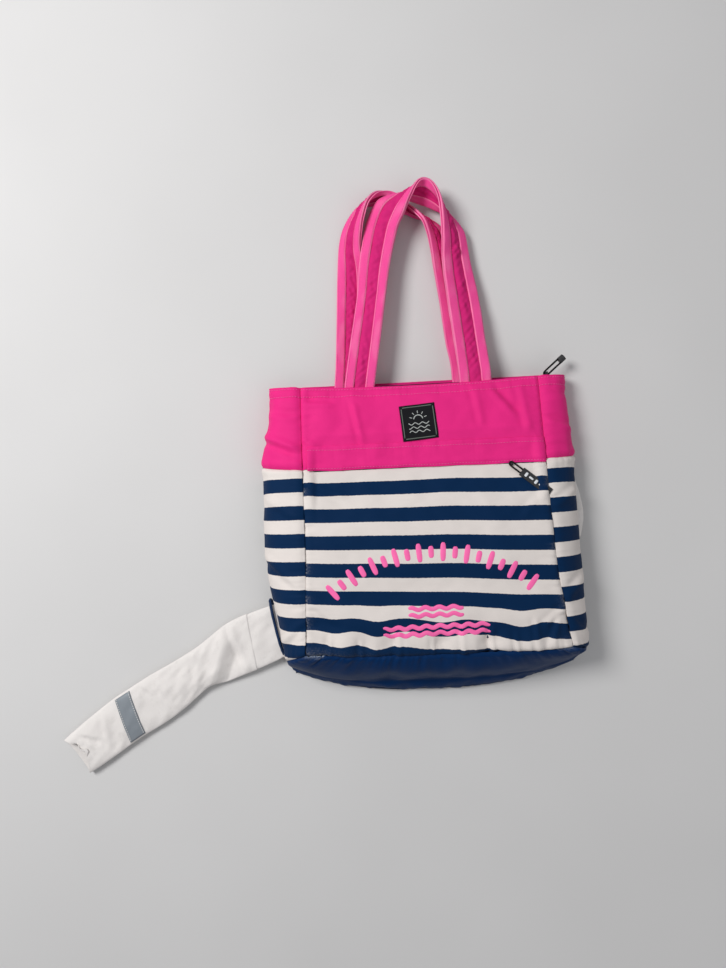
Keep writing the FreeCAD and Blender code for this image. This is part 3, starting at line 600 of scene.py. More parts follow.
def bulged(start, end, count, bulge, away):
    """A run of points between two corners, bulged outwards in the middle."""
    u = np.linspace(0, 1, count)[None, :, None]
    line = start[:, None, :] * (1 - u) + end[:, None, :] * u
    return line + away * (4 * u * (1 - u)) * bulge


def ring_rows(t):
    """Rows of the shell at levels t, as one closed ring of columns: front, right, back, left."""
    fl, fr, rf, lf, br, bl = [edge_at(k, t) for k in (FRONT_LEFT, FRONT_RIGHT, RIGHT_FOLD,
                                                      LEFT_FOLD, BACK_RIGHT, BACK_LEFT)]
    up = np.array([0, 0, 1.0])
    rounding = 2.2 * (np.sin(math.pi * np.clip(t, 0, 1)) * 0.5 + np.clip((t - 1.25) / 0.6, 0, 1))
    front = bulged(fl, fr, FRONT_COLS, rounding[:, None, None], up)
    back = bulged(br, bl, FRONT_COLS, 0.0, up)
    dip = np.clip(t - 2.2, 0, 0.8)[:, None] / 0.8
    u = np.linspace(0, 1, FRONT_COLS)[None, :]
    back[:, :, 1] -= dip ** 2 * 28 * (1 - np.abs(2 * u - 1) ** 2.6)
    front[:, :, 1] -= dip ** 2 * 3.5 * (1 - np.abs(2 * u - 1) ** 2.0)
    slack = np.clip(1 - 1.6 * t, 0, 1)[:, None] ** 1.5
    front[:, :, 1] -= slack * 3.4 * (1 - np.abs(2 * u - 0.9) ** 2.0).clip(0)
    half = SIDE_COLS // 2 + 1
    right_out, left_out = np.array([0.72, 0, 0.69]), np.array([-0.72, 0, 0.69])
    right = np.concatenate([bulged(fr, rf, half, 8.0, right_out)[:, 1:],
                            bulged(rf, br, half, 2.0, np.array([0.8, 0, -0.3]))[:, 1:-1]], axis=1)
    left = np.concatenate([bulged(bl, lf, half, 2.0, np.array([-0.8, 0, -0.3]))[:, 1:],
                           bulged(lf, fl, half, 9.0, left_out)[:, 1:-1]], axis=1)
    return np.concatenate([front, right, back, left], axis=1)


levels = np.concatenate([np.linspace(0, 1, BAND_ROWS, endpoint=False),
                         np.linspace(1, 3, PANEL_ROWS)])
shell = ring_rows(levels)
ROWS, COLS = shell.shape[:2]
FRONT = list(range(0, FRONT_COLS))
RIGHT = list(range(FRONT_COLS - 1, FRONT_COLS + SIDE_COLS))
BACK = list(range(FRONT_COLS + SIDE_COLS - 1, 2 * FRONT_COLS + SIDE_COLS - 1))
LEFT = [c % COLS for c in range(BACK[-1], COLS + 1)]


def base_patch(ring):
    """The base between the front's foot, the back's foot and the gussets' feet, rounded out."""
    top = ring[FRONT]
    low = ring[BACK][::-1]
    right, left = ring[RIGHT], ring[LEFT][::-1]
    v = np.linspace(0, 1, BASE_ROWS)
    u = np.linspace(0, 1, FRONT_COLS)
    right = smooth_curve(np.linspace(0, 1, len(right)), right, v)
    left = smooth_curve(np.linspace(0, 1, len(left)), left, v)
    U, V = u[None, :, None], v[:, None, None]
    patch = ((1 - V) * top[None] + V * low[None] + (1 - U) * left[:, None] + U * right[:, None]
             - (1 - U) * (1 - V) * top[0] - U * (1 - V) * top[-1]
             - (1 - U) * V * low[0] - U * V * low[-1])
    swell = (np.sin(math.pi * V) * (1 - np.abs(2 * U - 1) ** 6))
    return patch + swell * np.array([0, -7.0, 4.0])


base = base_patch(shell[-1])


def simulate(ring, patch):
    """Air pressure inside the sewn shell: seams hold, panels swell and crease between them."""
    inner = patch[1:-1, 1:-1].reshape(-1, 3)
    verts = np.concatenate([ring.reshape(-1, 3), inner])
    faces = grid_faces(ROWS, COLS, wrap=True)
    last = (ROWS - 1) * COLS
    rows, cols = patch.shape[:2]

    def at(r, c):
        if r == 0:
            return last + FRONT[c]
        if r == rows - 1:
            return last + BACK[::-1][c]
        if c in (0, cols - 1):
            side = LEFT[::-1] if c == 0 else RIGHT
            return last + side[min(len(side) - 1, int(round(r * (len(side) - 1) / (rows - 1))))]
        return ROWS * COLS + (r - 1) * (cols - 2) + c - 1

    for r in range(rows - 1):
        for c in range(cols - 1):
            quad = [at(r, c), at(r + 1, c), at(r + 1, c + 1), at(r, c + 1)]
            quad = [q for i, q in enumerate(quad) if q not in quad[:i]]
            if len(quad) > 2:
                faces.append(tuple(quad))
    for c in range(FRONT_COLS - 1):
        faces.append((FRONT[c + 1], BACK[::-1][c + 1], BACK[::-1][c], FRONT[c]))
    mesh = bpy.data.meshes.new("simulated")
    mesh.from_pydata((verts * 0.01).tolist(), [], faces)
    cloth_object = bpy.data.objects.new("simulated", mesh)
    scene.collection.objects.link(cloth_object)
    pins = cloth_object.vertex_groups.new(name="pins")
    held = np.zeros(len(verts))
    grid = np.zeros((ROWS, COLS))
    grid[0] = 1
    grid[BAND_ROWS] = 0.8
    grid[-1] = 0.8
    for c in (0, FRONT_COLS - 1):
        grid[:, c] = 0.85
    grid[:, BACK] = 1
    held[: ROWS * COLS] = grid.ravel()
    for i in np.nonzero(held)[0]:
        pins.add([int(i)], float(held[i]), "REPLACE")
    cloth_mod = cloth_object.modifiers.new("Cloth", "CLOTH")
    settings = cloth_mod.settings
    settings.quality = 5
    settings.mass = 0.3
    settings.tension_stiffness = settings.compression_stiffness = 12
    settings.shear_stiffness = 6
    settings.bending_stiffness = 0.35
    settings.use_pressure = True
    settings.uniform_pressure_force = 4.0
    settings.shrink_min = -0.022
    settings.vertex_group_mass = "pins"
    settings.pin_stiffness = 6
    settings.effector_weights.gravity = 0
    cloth_mod.collision_settings.use_self_collision = False
    cloth_mod.collision_settings.use_collision = False
    cloth_mod.point_cache.frame_start, cloth_mod.point_cache.frame_end = 1, 20
    for step in range(1, 21):
        scene.frame_set(step)
    solved = cloth_object.evaluated_get(bpy.context.evaluated_depsgraph_get()).to_mesh()
    out = np.empty(len(verts) * 3, np.float32)
    solved.vertices.foreach_get("co", out)
    moved = out.reshape(-1, 3).astype(float) * 100 - verts
    scene.frame_set(1)
    bpy.data.objects.remove(cloth_object)
    far = np.linalg.norm(moved, axis=1, keepdims=True)
    moved *= np.tanh(far / MOST_SWELL) * MOST_SWELL / np.maximum(far, 1e-6)
    ring_move = moved[: ROWS * COLS].reshape(ROWS, COLS, 3)
    patch_move = np.zeros_like(patch)
    patch_move[1:-1, 1:-1] = moved[ROWS * COLS:].reshape(rows - 2, cols - 2, 3)
    return ring_move, patch_move


ring_move, patch_move = simulate(shell, base)
for _ in range(2):
    ring_move = (np.roll(ring_move, 1, 1) + 2 * ring_move + np.roll(ring_move, -1, 1)) / 4
    ring_move[1:-1] = (ring_move[:-2] + 2 * ring_move[1:-1] + ring_move[2:]) / 4
ring_move[:, BACK] = 0
ring_move[[0, BAND_ROWS, -1]] *= 0.3
flat_zone = np.where(levels < 1, np.clip((1 - levels) / 0.35, 0, 1),
                     np.clip((levels - 1.15) / 0.45, 0, 1))
ring_move[:, FRONT[3:-3]] *= flat_zone[:, None, None]
shell = shell + ring_move
base = base_patch(shell[-1]) + patch_move

# ---------------------------------------------------------------- sewn panels


def fabric_of(t, columns):
    """Flat cloth coordinates in mm: distance across the panel and height on the bag."""
    flat = ring_rows(t)[:, columns]
    steps = np.linalg.norm(np.diff(flat, axis=1), axis=2)
    x = np.concatenate([np.zeros((len(t), 1)), np.cumsum(steps, axis=1)], axis=1)
    x -= x[:, -1:] / 2
    return np.stack([x, flat[:, :, 1], np.zeros_like(x)], axis=2)


def fine_grid(rough, down, across, middle):
    """A coarse grid's fine rows and columns, their distances in mm, and its width and height."""
    height, width = rough.shape[0] - 1, rough.shape[1] - 1
    tall, wide = lengths(rough[:, middle[1]])[-1], lengths(rough[middle[0]])[-1]
    r = spaced(tall, down) / tall * height
    c = spaced(wide, across) / wide * width
    S = c[None, :] / width * wide + 0 * r[:, None]
    T = r[:, None] / height * tall + 0 * c[None, :]
    return r, c, S, T, wide, tall


def pucker(distance, along, depth, reach, seed, size=9.0):
    """Small gathers beside a seam, dying away from it."""
    fade = np.exp(-np.abs(distance) / reach)
    return depth * fade * (0.55 * wiggle(along, size, seed)
                           + 0.45 * wiggle(along, size * 0.45, seed + 1))


def seam_lift(S, T, wide, tall, edges, fade, ridge, gathers, reach, seed, size=9.0):
    """How cloth rises from the seams at its top, foot, left and right, with gathers in it."""
    lift = np.zeros_like(S)
    for k, (distance, along) in enumerate(((T, S), (tall - T, S), (S, T), (wide - S, T))):
        lift += 2.2 * edges[k] * (1 - np.exp(-(distance / 2.4) ** 2)) * np.exp(-distance / fade)
        lift += ridge * edges[k] * hill(distance - 6, 4)
        lift += (pucker(distance, along, gathers[k], reach, seed + k * 3, size)
                 * (1 - np.exp(-distance / 2.0)))
    return lift


def sewn_panel(name, rows, columns, seed, top_cut=None, low_cut=None, edges=(1, 1, 1, 1), folds=(),
               wrinkle=0.55, wear=None, hole=None, slip=None, sewn=(), swell=None):
    """One cloth panel of the shell with fine rows, seam valleys, gathers and folds."""
    rough = shell[np.array(rows)][:, columns]
    middle = ((len(rows) - 1) // 2, (len(columns) - 1) // 2)
    r, c, S, T, wide, tall = fine_grid(rough, 2.1, 2.1, middle)
    points = resample(rough, r, c)
    fabric = resample(fabric_of(levels[np.array(rows)], columns), r, c)
    if top_cut is not None or low_cut is not None:
        x = fabric[:, :, 0]
        slide = np.zeros_like(x)
        share = np.linspace(0, 1, len(r))[:, None]
        if low_cut is not None:
            slide += low_cut(x) * share ** 2
        if top_cut is not None:
            slide += top_cut(x) * (1 - share) ** 6
        points = points - unit(np.gradient(points, axis=0)) * slide[:, :, None]
        fabric[:, :, 1] += slide
    if slip is not None:
        fabric[:, :, 1] += slip(points[:, :, 0], points[:, :, 1])
    lift = seam_lift(S, T, wide, tall, edges, 11, 0.5, [1.5 * on for on in edges], 7.5, seed * 11)
    for distance in sewn:
        lift += -0.75 * hill(T - distance, 1.1)
        lift += 0.35 * hill(T - distance, 4) * wiggle(S, 6, seed * 7 + 5)
    if swell is not None:
        lift += swell(S, T, tall)
    calm = np.clip(np.minimum(np.minimum(T, tall - T), np.minimum(S, wide - S)) / 8, 0, 1)
    lift += wrinkle * calm * (ripple(S, T * 0.55, 34, seed) * 0.8
                              + ripple(S * 0.8, T, 15, seed + 50) * 0.35)
    for fold in folds:
        lift += crease(points[:, :, 0], points[:, :, 1], fold, 5, (0.6, 1.6, 0.8))
    points = points + normals_of(points) * lift[:, :, None]
    high = points[:, :, 2] - SOFT_TOP
    points[:, :, 2] = np.where(high > 0, SOFT_TOP + TOP_ROOM * np.tanh(high / TOP_ROOM),
                               points[:, :, 2])
    points[:, :, 2] = np.maximum(points[:, :, 2], 0.3)
    normal = normals_of(points)
    kind = "pink" if rows is BAND else "striped"
    panel_mesh(name + "_cloth", points, 2.2, kind, "bag", kind + "_fabric", fabric,
               wear(S, T, wide, tall) if wear else None, out=normal,
               hole=hole(*points.transpose(2, 0, 1)) if hole else None, fill=0.35,
               stands_for=[name])
    return points, normal


def window(x):
    return np.clip((130 - np.abs(x)) / 5, 0, 1)


BAND = list(range(0, BAND_ROWS + 1))
PANEL = list(range(BAND_ROWS, ROWS))


def slack_foot(S, T, tall):
    """The cloth bunches above the base seam, most in the middle and at the corners."""
    up = tall - T
    bunch = np.exp(-((up - 13) / 11) ** 2) * (0.6 + 3.6 * wiggle(S, 44, 301))
    roll = 2.2 * np.exp(-((up - 36) / 9) ** 2) * wiggle(S, 90, 302)
    soft = 1.9 * ripple(S * 0.6, T, 55, 303) * np.clip((T - 45) / 30, 0, 1)
    return bunch + roll + soft


def seam_wear(S, T, wide, tall):
    """Rubbed threads along the side seams and the foot corners."""
    side = np.minimum(S, wide - S)
    foot = np.exp(-(tall - T) / 4.0) * np.exp(-side / 30.0)
    spots = (wiggle(T, 45, 77) > 0.25).astype(float)
    return np.clip(np.exp(-side / 2.5) * spots * 0.4 + foot * 0.5, 0, 1)


def front_slip(x, y):
    """How far the front panel's stripes sit above the height they would have, drawn level."""
    return (7.3 + (x + 35) / 130 * (1.7 + 9.6 * (75 - y) / 205)
            + 2.4 * np.exp(-((y + 112) / 24) ** 2) * wiggle(x, 60, 9) + 0.8 * wiggle(x, 150, 10))


# Folds are lines in plan: x and y of both ends, rise and spread.
band_points, band_normal = sewn_panel(
    "front_band", BAND, FRONT, 1, low_cut=lambda x: 13 * window(x), edges=(0.15, 0.2, 1, 1),
    wrinkle=0.8, sewn=(3, 12),
    folds=[(-136, 158, -104, 155, -2.2, 4), (84, 163, 108, 132, -2.4, 5),
           (-80, 150, -71, 104, 1.6, 3.5), (-139, 110, -122, 103, 1.8, 3.2),
           (60, 160, 66, 118, 1.2, 4), (-20, 100, 20, 97, -1.0, 4), (112, 160, 118, 110, 1.4, 4)])
front_points, _ = sewn_panel(
    "front_pocket_panel", PANEL, FRONT, 2, swell=slack_foot, slip=front_slip,
    top_cut=lambda x: -2.5 * window(x), edges=(0.0, 1, 1, 1), wrinkle=0.5, wear=seam_wear,
    folds=[(-42, -108, -44, -136, 3.0, 3), (29, -106, 28, -139, 2.8, 3),
           (62, -108, 61, -139, 3.0, 3), (-118, -112, -121, -133, 2.4, 3),
           (110, -104, 112, -137, 2.6, 3),
           (-84, -116, -85, -136, 2.0, 2.6), (-4, -118, -5, -138, 1.8, 2.4),
           (88, -116, 89, -138, 2.0, 2.6), (138, -104, 126, -134, 2.2, 3.5),
           (-137, 60, -96, 44, 1.5, 4), (134, 40, 104, 12, 1.3, 5),
           (-139, -70, -108, -96, 1.6, 4.5), (146, -90, 118, -112, 1.6, 4)])
SIDE_FOLDS_L = [(-186, 119, -146, 101, 3.2, 4.5), (-182, 44, -150, 24, 1.4, 5),
                (-190, -20, -152, -52, 2.0, 5), (-176, -120, -152, -96, 1.8, 4),
                (-178, 150, -150, 140, -1.5, 5)]
SIDE_FOLDS_R = [(172, 108, 140, 118, 1.8, 4), (172, 40, 142, 22, 1.8, 4.5),
                (174, -60, 144, -84, 2.0, 5), (176, -128, 154, -112, 1.8, 4),
                (168, 150, 142, 156, -1.4, 4)]
left_band_points, left_band_normal = sewn_panel(
    "left_gusset_band", BAND, LEFT, 3, sewn=(3, 12), edges=(0.15, 1, 0.5, 1), folds=SIDE_FOLDS_L)
right_band_points, right_band_normal = sewn_panel(
    "right_gusset_band", BAND, RIGHT, 4, sewn=(3, 12), edges=(0.15, 1, 1, 0.5), folds=SIDE_FOLDS_R)
sewn_panel("left_gusset_panel", PANEL, LEFT, 5, edges=(1, 1, 0.5, 1), folds=SIDE_FOLDS_L,
           hole=lambda x, y, z: (y > -136) & (y < -76) & (z > 5) & (z < 17) & (x < -165))
sewn_panel("right_gusset_panel", PANEL, RIGHT, 6, edges=(1, 1, 1, 0.5), folds=SIDE_FOLDS_R,
           slip=lambda x, y: 2.2 + 13.6 * (75 - y) / 205,
           hole=lambda x, y, z: (y > -16) & (y < 49) & (z > 6) & (z < 17) & (x > 165))
sewn_panel("back_band", BAND, BACK, 7, wrinkle=0.3, edges=(0.1, 0.4, 0.4, 0.4))
sewn_panel("back_panel", PANEL, BACK, 8, wrinkle=0.3, edges=(0.4, 0.4, 0.4, 0.4))


def build_base():
    rows, cols = base.shape[:2]
    r, c, S, T, wide, tall = fine_grid(base, 2.0, 2.2, (rows // 2, cols // 2))
    points = resample(base, r, c)
    lift = seam_lift(S, T, wide, tall, (1, 1, 1, 1), 14, 0, (1.7, 0.6, 1.7, 1.7), 9, 900, 12)
    lift += 0.9 * np.clip(np.minimum(T, tall - T) / 8, 0, 1) * ripple(S * 0.8, T, 26, 91)
    lift += 1.6 * hill(T - tall * 0.45, 3.5) * (0.5 + 0.5 * wiggle(S, 60, 33))
    points = points + normals_of(points) * lift[:, :, None]
    points[:, :, 2] = np.maximum(points[:, :, 2], 0.3)
    wear = np.clip(np.exp(-T / 1.8) * (np.minimum(S, wide - S) < 26), 0, 1)
    panel_mesh("base_panel_cloth", points, 2.2, "blue", "bag", "blue_base_fabric",
               np.stack([S, T, 0 * S], axis=2), wear, fill=0.4, stands_for=["base_panel"])


build_base()

# ---------------------------------------------------------------- lying on the front
def tree_of(*grids):
    verts, faces = [], []
    for grid in grids:
        start = len(verts)
        verts += [Vector(p) for p in grid.reshape(-1, 3)]
        faces += grid_faces(*grid.shape[:2], start)
    return BVHTree.FromPolygons(verts, faces)


band_tree, front_tree = tree_of(band_points), tree_of(front_points)


def drop(tree, x, y, missing):
    """The height of a surface at a place in plan, or the one given where there is none."""
    hit = tree.ray_cast(Vector((x, y, 300)), Vector((0, 0, -1)))[0]
    return missing if hit is None else hit.z


def front_height(x, y):
    """Height of the bag's front, bridged across the pocket's opening."""
    if y > 90:
        return drop(band_tree, x, y, 42.0)
    if y < 70:
        return drop(front_tree, x, y, 46.0)
    above, below = drop(band_tree, x, 91, 42.5), drop(front_tree, x, 69, 46.0)
    return below + (above - below) * (y - 69) / 22


def laid(height, xy, lift):
    """Points laid on a surface at plan positions, with outward normals."""
    xy = np.asarray(xy, float)
    flat = xy.reshape(-1, 2)
    beside = ((0, 0), (-1.5, 0), (1.5, 0), (0, -1.5), (0, 1.5))
    z, left, right, below, above = [np.array([height(x + dx, y + dy) for x, y in flat])
                                    for dx, dy in beside]
    normal = unit(np.stack([(left - right) / 3, (below - above) / 3, np.ones_like(z)], axis=1))
    points = np.concatenate([flat, z[:, None]], axis=1) + normal * np.reshape(lift, (-1, 1))
    return points.reshape(*xy.shape[:-1], 3), normal.reshape(*xy.shape[:-1], 3)


class Patches:
    """Many small raised shapes on one surface, gathered into one piece."""

    def __init__(self):
        self.verts, self.faces, self.fabric = [], [], []

    def strip(self, height, centre, half_widths, lift=0.45, base=-0.25):
        """A raised strip along plan points, as wide as twice each half width."""
        centre = np.asarray(centre, float)
        half = np.broadcast_to(np.asarray(half_widths, float), len(centre))
        run = unit(np.gradient(centre, axis=0))
        side = np.stack([-run[:, 1], run[:, 0]], axis=1)
        across = np.array([-1, -0.8, 0, 0.8, 1.0])
        xy = centre[:, None] + side[:, None] * (across[None, :, None] * half[:, None, None])
        lifts = np.where(np.abs(across) == 1, base, lift)[None].repeat(len(centre), 0)
        lifts[0], lifts[-1] = base, base
        top, normal = laid(height, xy, lifts.ravel())
        rows, start = len(centre), len(self.verts)
        under = start + rows * 5
        self.verts += [*top.reshape(-1, 3), *(top - normal * 0.2).reshape(-1, 3)]
        self.fabric += [(*p, 0.0) for p in xy.reshape(-1, 2)] * 2
        self.faces += [f[::-1] for f in grid_faces(rows, 5, start)]
        self.faces += grid_faces(rows, 5, under)
        ring = ([r * 5 for r in range(rows)] + [(rows - 1) * 5 + c for c in range(1, 5)]
                + [r * 5 + 4 for r in range(rows - 2, -1, -1)] + [3, 2, 1])
        for a, b in zip(ring, ring[1:] + ring[:1]):
            self.faces.append((start + b, start + a, under + a, under + b))

    def make(self, name, material, slot, **kept):
        return new_object(name, self.verts, self.faces, material, "bag", slot, self.fabric, **kept)


def turned(points, centre, degrees):
    c, s = math.cos(math.radians(degrees)), math.sin(math.radians(degrees))
    return [(centre[0] + x * c - y * s, centre[1] + x * s + y * c) for x, y in points]


# Label: black woven square with a sun over waves, a design of its own.
LABEL_AT, LABEL_TURN, LABEL_HALF = (-6.5, 124.3), 4.3, 20.3


def build_label():
    side = np.linspace(-LABEL_HALF, LABEL_HALF, 34)
    a, b = np.meshgrid(side, side[::-1])
    flat = np.stack([a, b], axis=2)
    xy = np.array(turned(flat.reshape(-1, 2), LABEL_AT, LABEL_TURN)).reshape(flat.shape)
    edge = LABEL_HALF - np.maximum(np.abs(a), np.abs(b))
    lift = (1.15 + 0.35 * hill(edge - 1.5, 1.2) - 0.45 * np.exp(-edge / 0.8)
            + 0.25 * ripple(a, b, 16, 400))
    points, _ = laid(lambda x, y: drop(band_tree, x, y, 40.0), xy, lift.ravel())
    panel_mesh("woven_label_patch", points, 0.9, "label", "bag", "label_weave",
               np.stack([a, b, 0 * a], axis=2), stands_for=["woven_label"])
    tree = tree_of(points)

    def draw(patches, line, half, lift):
        patches.strip(lambda x, y: drop(tree, x, y, 41.0), turned(line, LABEL_AT, LABEL_TURN),
                      half, lift, -0.1)

    edging, motif = Patches(), Patches()
    reach = LABEL_HALF - 2.3
    corners = [(-reach, -reach), (reach, -reach), (reach, reach), (-reach, reach), (-reach, -reach)]
    for (x0, y0), (x1, y1) in zip(corners, corners[1:]):
        draw(edging, [(x0 + (x1 - x0) * t, y0 + (y1 - y0) * t)
                      for t in np.linspace(0.02, 0.98, 20)], 0.55, 0.22)
    draw(motif, [(5.2 * math.cos(t), 3.0 + 5.2 * math.sin(t))
                 for t in np.linspace(0.1, math.pi - 0.1, 22)], 0.6, 0.25)
    for k in range(5):
        angle = math.pi * (k + 0.5) / 5
        draw(motif, [(r * math.cos(angle), 3.0 + r * math.sin(angle))
                     for r in np.linspace(7.0, 10.5, 6)], 0.45, 0.25)
    for y in (-1.5, -6.0, -10.5):
        draw(motif, [(x, y + 1.1 * math.sin(x * 0.75 + y)) for x in np.linspace(-12, 12, 40)],
             0.5, 0.25)
    edging.make("woven_label_edging", "label_edge", "label_weave")
    motif.make("woven_label_motif", "label_thread", "label_weave")


build_label()

# Print: an arc of short rays over four wavy lines, a design of its own.


def build_print():
    ink = Patches()

    def draw(line, half, blunt, least):
        """A painted line whose ends are rounded."""
        share = np.abs(np.linspace(-1, 1, len(line))) ** blunt
        ink.strip(lambda x, y: drop(front_tree, x, y, 60.0), line,
                  half * np.sqrt(np.clip(1 - share, least, 1)), 0.28, -0.12)

    for k in range(19):
        angle = math.radians(-39 + 78 * k / 18)
        near, far = (166, 188) if k % 2 == 0 else (170, 184)
        draw([(r * math.sin(angle) - 2, -199 + r * math.cos(angle))
              for r in np.linspace(near, far, 12)], 3.3, 4, 0.12)
    for y, reach in ((-84.2, 31), (-91.8, 31), (-104.8, 60), (-112.4, 60)):
        draw([(x, y + 1.3 * math.sin(x * 2 * math.pi / 15.5))
              for x in np.linspace(-reach, reach, 4 * reach // 3)], 2.6, 16, 0.1)
    ink.make("front_print_ink", "print", "pink_print", stands_for=["front_print"])


build_print()


def build_flap():
    """The storm flap over the pocket's zip, sewn along its top edge and turned under below."""
    xs = np.concatenate([[-135.5, -135.0, -134], np.linspace(-132, 132, 133), [134, 135.0, 135.5]])
    ys = np.array([102.2, 101.6, 100.6, 99.2, 97.5, 95.5, 93.4, 91.2, 89, 87, 85, 83, 81.5, 80.2,
                   79.2, 78.4, 78.0])
    ys = 102.2 - (102.2 - ys) * 27.4 / 24.2
    x, y = np.meshgrid(xs, ys)
    y = y - 0.010 * x - 1.6 * (102.2 - y) / 27.4 + 0.5 * wiggle(x, 70, 610)
    down = np.linspace(0, 1, len(ys))[:, None]
    lift = 0.9 + 1.1 * down + 0.5 * np.sin(math.pi * down)
    lift = lift - 0.7 * np.exp(-(102.0 - y) / 1.2) + 0.45 * pucker(102 - y, x, 1.0, 6, 620, 7)
    lift = lift + 0.35 * ripple(x, y * 2, 22, 630) + 0.3 * pucker(y - 74.8, x, 1.0, 5, 640, 8)
    lift = lift - 0.8 * np.exp(-np.maximum(y - 74.8, 0) / 0.8) + 0.5 * hill(y - 78.5, 2)
    z = np.array([[front_height(a, b) for a, b in zip(ra, rb)] for ra, rb in zip(x, y)])
    for _ in range(3):
        z[1:-1] = (z[:-2] + 2 * z[1:-1] + z[2:]) / 4
    points = np.stack([x, y, z + lift], axis=2)
    hinge = ("bag", "pocket_flap", (0, 0.1015, 0.042), (0, 0.0965, 0.0426))
    panel_mesh("pocket_flap", points, 1.5, "pink", None, "pink_fabric",
               np.stack([x, y, 0 * x], axis=2), blend=hinge, fill=0.1,
               stands_for=["pocket_zip_flap"])
    normal = normals_of(points)
    for row, name in ((4, "upper"), (13, "lower")):
        stitch_row("pocket_flap_stitches_" + name, points[row], normal[row], "thread", None,
                   "pink_fabric", width=0.8, height=0.7, blend=hinge)


build_flap()


def down_from(points, normal, distance):
    """The line across a panel at a distance below its top edge, and its normals."""
    out = []
    for c in range(points.shape[1]):
        depth = lengths(points[:, c])
        out.append([np.interp(distance, depth, grid[:, c, i])
                    for grid in (points, normal) for i in range(3)])
    out = np.array(out)
    return out[:, :3], out[:, 3:]


for label, points, normal in (("front", band_points, band_normal),
                              ("left", left_band_points, left_band_normal),
                              ("right", right_band_points, right_band_normal)):
    for distance in (3, 12):
        line, out = down_from(points, normal, distance)
        stitch_row(f"hem_stitches_{label}_{distance}", line, out, "thread", "bag", "pink_fabric",
                   width=0.95, height=0.9)

# ---------------------------------------------------------------- handles

# Stations along each strap: x, y, z of its outer edge, then of its inner edge.
FRONT_HANDLE = [
    (-96.5, 141.0, 30.5, -61.5, 139.0, 30.5), (-91, 160.0, 28.5, -56.0, 158.0, 28.5),
    (-89.0, 170.5, 28.5, -54.4, 168.5, 28.5), (-87.2, 181, 29.5, -52.8, 178, 29.5),
    (-78.7, 225.3, 26, -45.2, 220.4, 30), (-68.3, 278.7, 20, -36.3, 272.6, 28),
    (-64.1, 314.3, 18, -30.0, 306.8, 26), (-58.3, 344.0, 17, -23.5, 333.3, 26),
    (-52.1, 365.7, 15, -17.5, 354.1, 28), (-40.0, 388.3, 14, -9.2, 370.4, 31),
    (-23.7, 396.4, 12, -3.9, 382.3, 34), (-12.9, 396.6, 11, 1.8, 393.2, 35),
    (-2.4, 391.9, 9, 7.6, 403.1, 34), (8.1, 387.1, 8, 14.6, 408.0, 30),
    (19.8, 382.4, 8, 22.1, 406.0, 29), (31.5, 377.2, 8, 28.7, 395.8, 32),
    (41.9, 371.7, 8, 32.2, 380.7, 35), (52.1, 362.8, 9, 33.6, 363.3, 35),
    (61.3, 346.8, 10, 33.6, 339.2, 31), (66.2, 313.1, 11, 33.0, 310.3, 27),
    (73.5, 269.3, 15, 36.7, 262.4, 26), (77.8, 217.9, 22, 41.2, 212.5, 30),
    (80.8, 181, 29.5, 44.2, 179, 29.5), (81.3, 170.5, 28.5, 44.8, 168.5, 28.5),
    (82.5, 160, 28.5, 46, 158, 28.5), (84.5, 141, 30.5, 48, 139, 30.5)]
BACK_HANDLE = [
    (-104.5, 141, 10.5, -68.5, 139, 10.5), (-102, 163, 10.0, -66, 161, 10.0),
    (-101.0, 177.2, 6, -65.0, 175.1, 6), (-99, 196, 3, -63.5, 193, 3),
    (-95.5, 242.7, 2.6, -60.4, 239.4, 3), (-90.5, 310.6, 2.6, -57.5, 305.1, 9),
    (-86.5, 341.5, 2.6, -62.1, 335.1, 18), (-80.7, 361.1, 2.6, -60.7, 352.5, 25),
    (-70.9, 377.2, 2.6, -57.3, 368.3, 27), (-58.6, 388.3, 2.6, -50.9, 386.3, 26),
    (-42.7, 389.0, 2.6, -40.3, 399.5, 17), (-26.1, 384.8, 2.6, -26.6, 404.3, 6),
    (-11.0, 377.7, 2.6, -13.8, 400.3, 4), (1.8, 373.6, 2.6, -3.9, 387.2, 8),
    (12.5, 370.9, 2.6, 4.6, 373.9, 20), (24.2, 366.3, 2.6, 12.9, 361.6, 24),
    (35.7, 357.3, 2.6, 17.4, 349.8, 20), (45.6, 340.0, 2.6, 20.8, 333.7, 15),
    (53.8, 313.3, 2.6, 23.8, 309.2, 10), (61.0, 270.4, 2.6, 29.4, 265.3, 5),
    (70.4, 222.0, 2.6, 34.2, 218.9, 3), (74.0, 196, 3, 38.5, 194, 3),
    (74.9, 177.3, 6, 39.0, 175, 6), (75.2, 163, 10, 39.2, 161, 10),
    (75.5, 141, 10.5, 39.5, 139, 10.5)]
STRAP_WIDE = 36


def strap_lines(stations):
    """The strap's two edges, read evenly along its length: outer, inner, unit normal, distance."""
    stations = np.array(stations, float)
    chord = lengths((stations[:, :3] + stations[:, 3:]) / 2)
    at = np.arange(0, chord[-1], 2.0)
    both = smooth_curve(chord, stations, at)
    outer, inner = both[:, :3], both[:, 3:]
    for _ in range(3):
        for edge in (outer, inner):
            edge[1:-1] = (edge[:-2] + 2 * edge[1:-1] + edge[2:]) / 4
    normal = unit(np.cross(inner - outer, np.gradient((outer + inner) / 2, axis=0)))
    for _ in range(4):
        normal[1:-1] = normal[:-2] + 2 * normal[1:-1] + normal[2:]
        normal = unit(normal)
    return outer, inner, normal, at


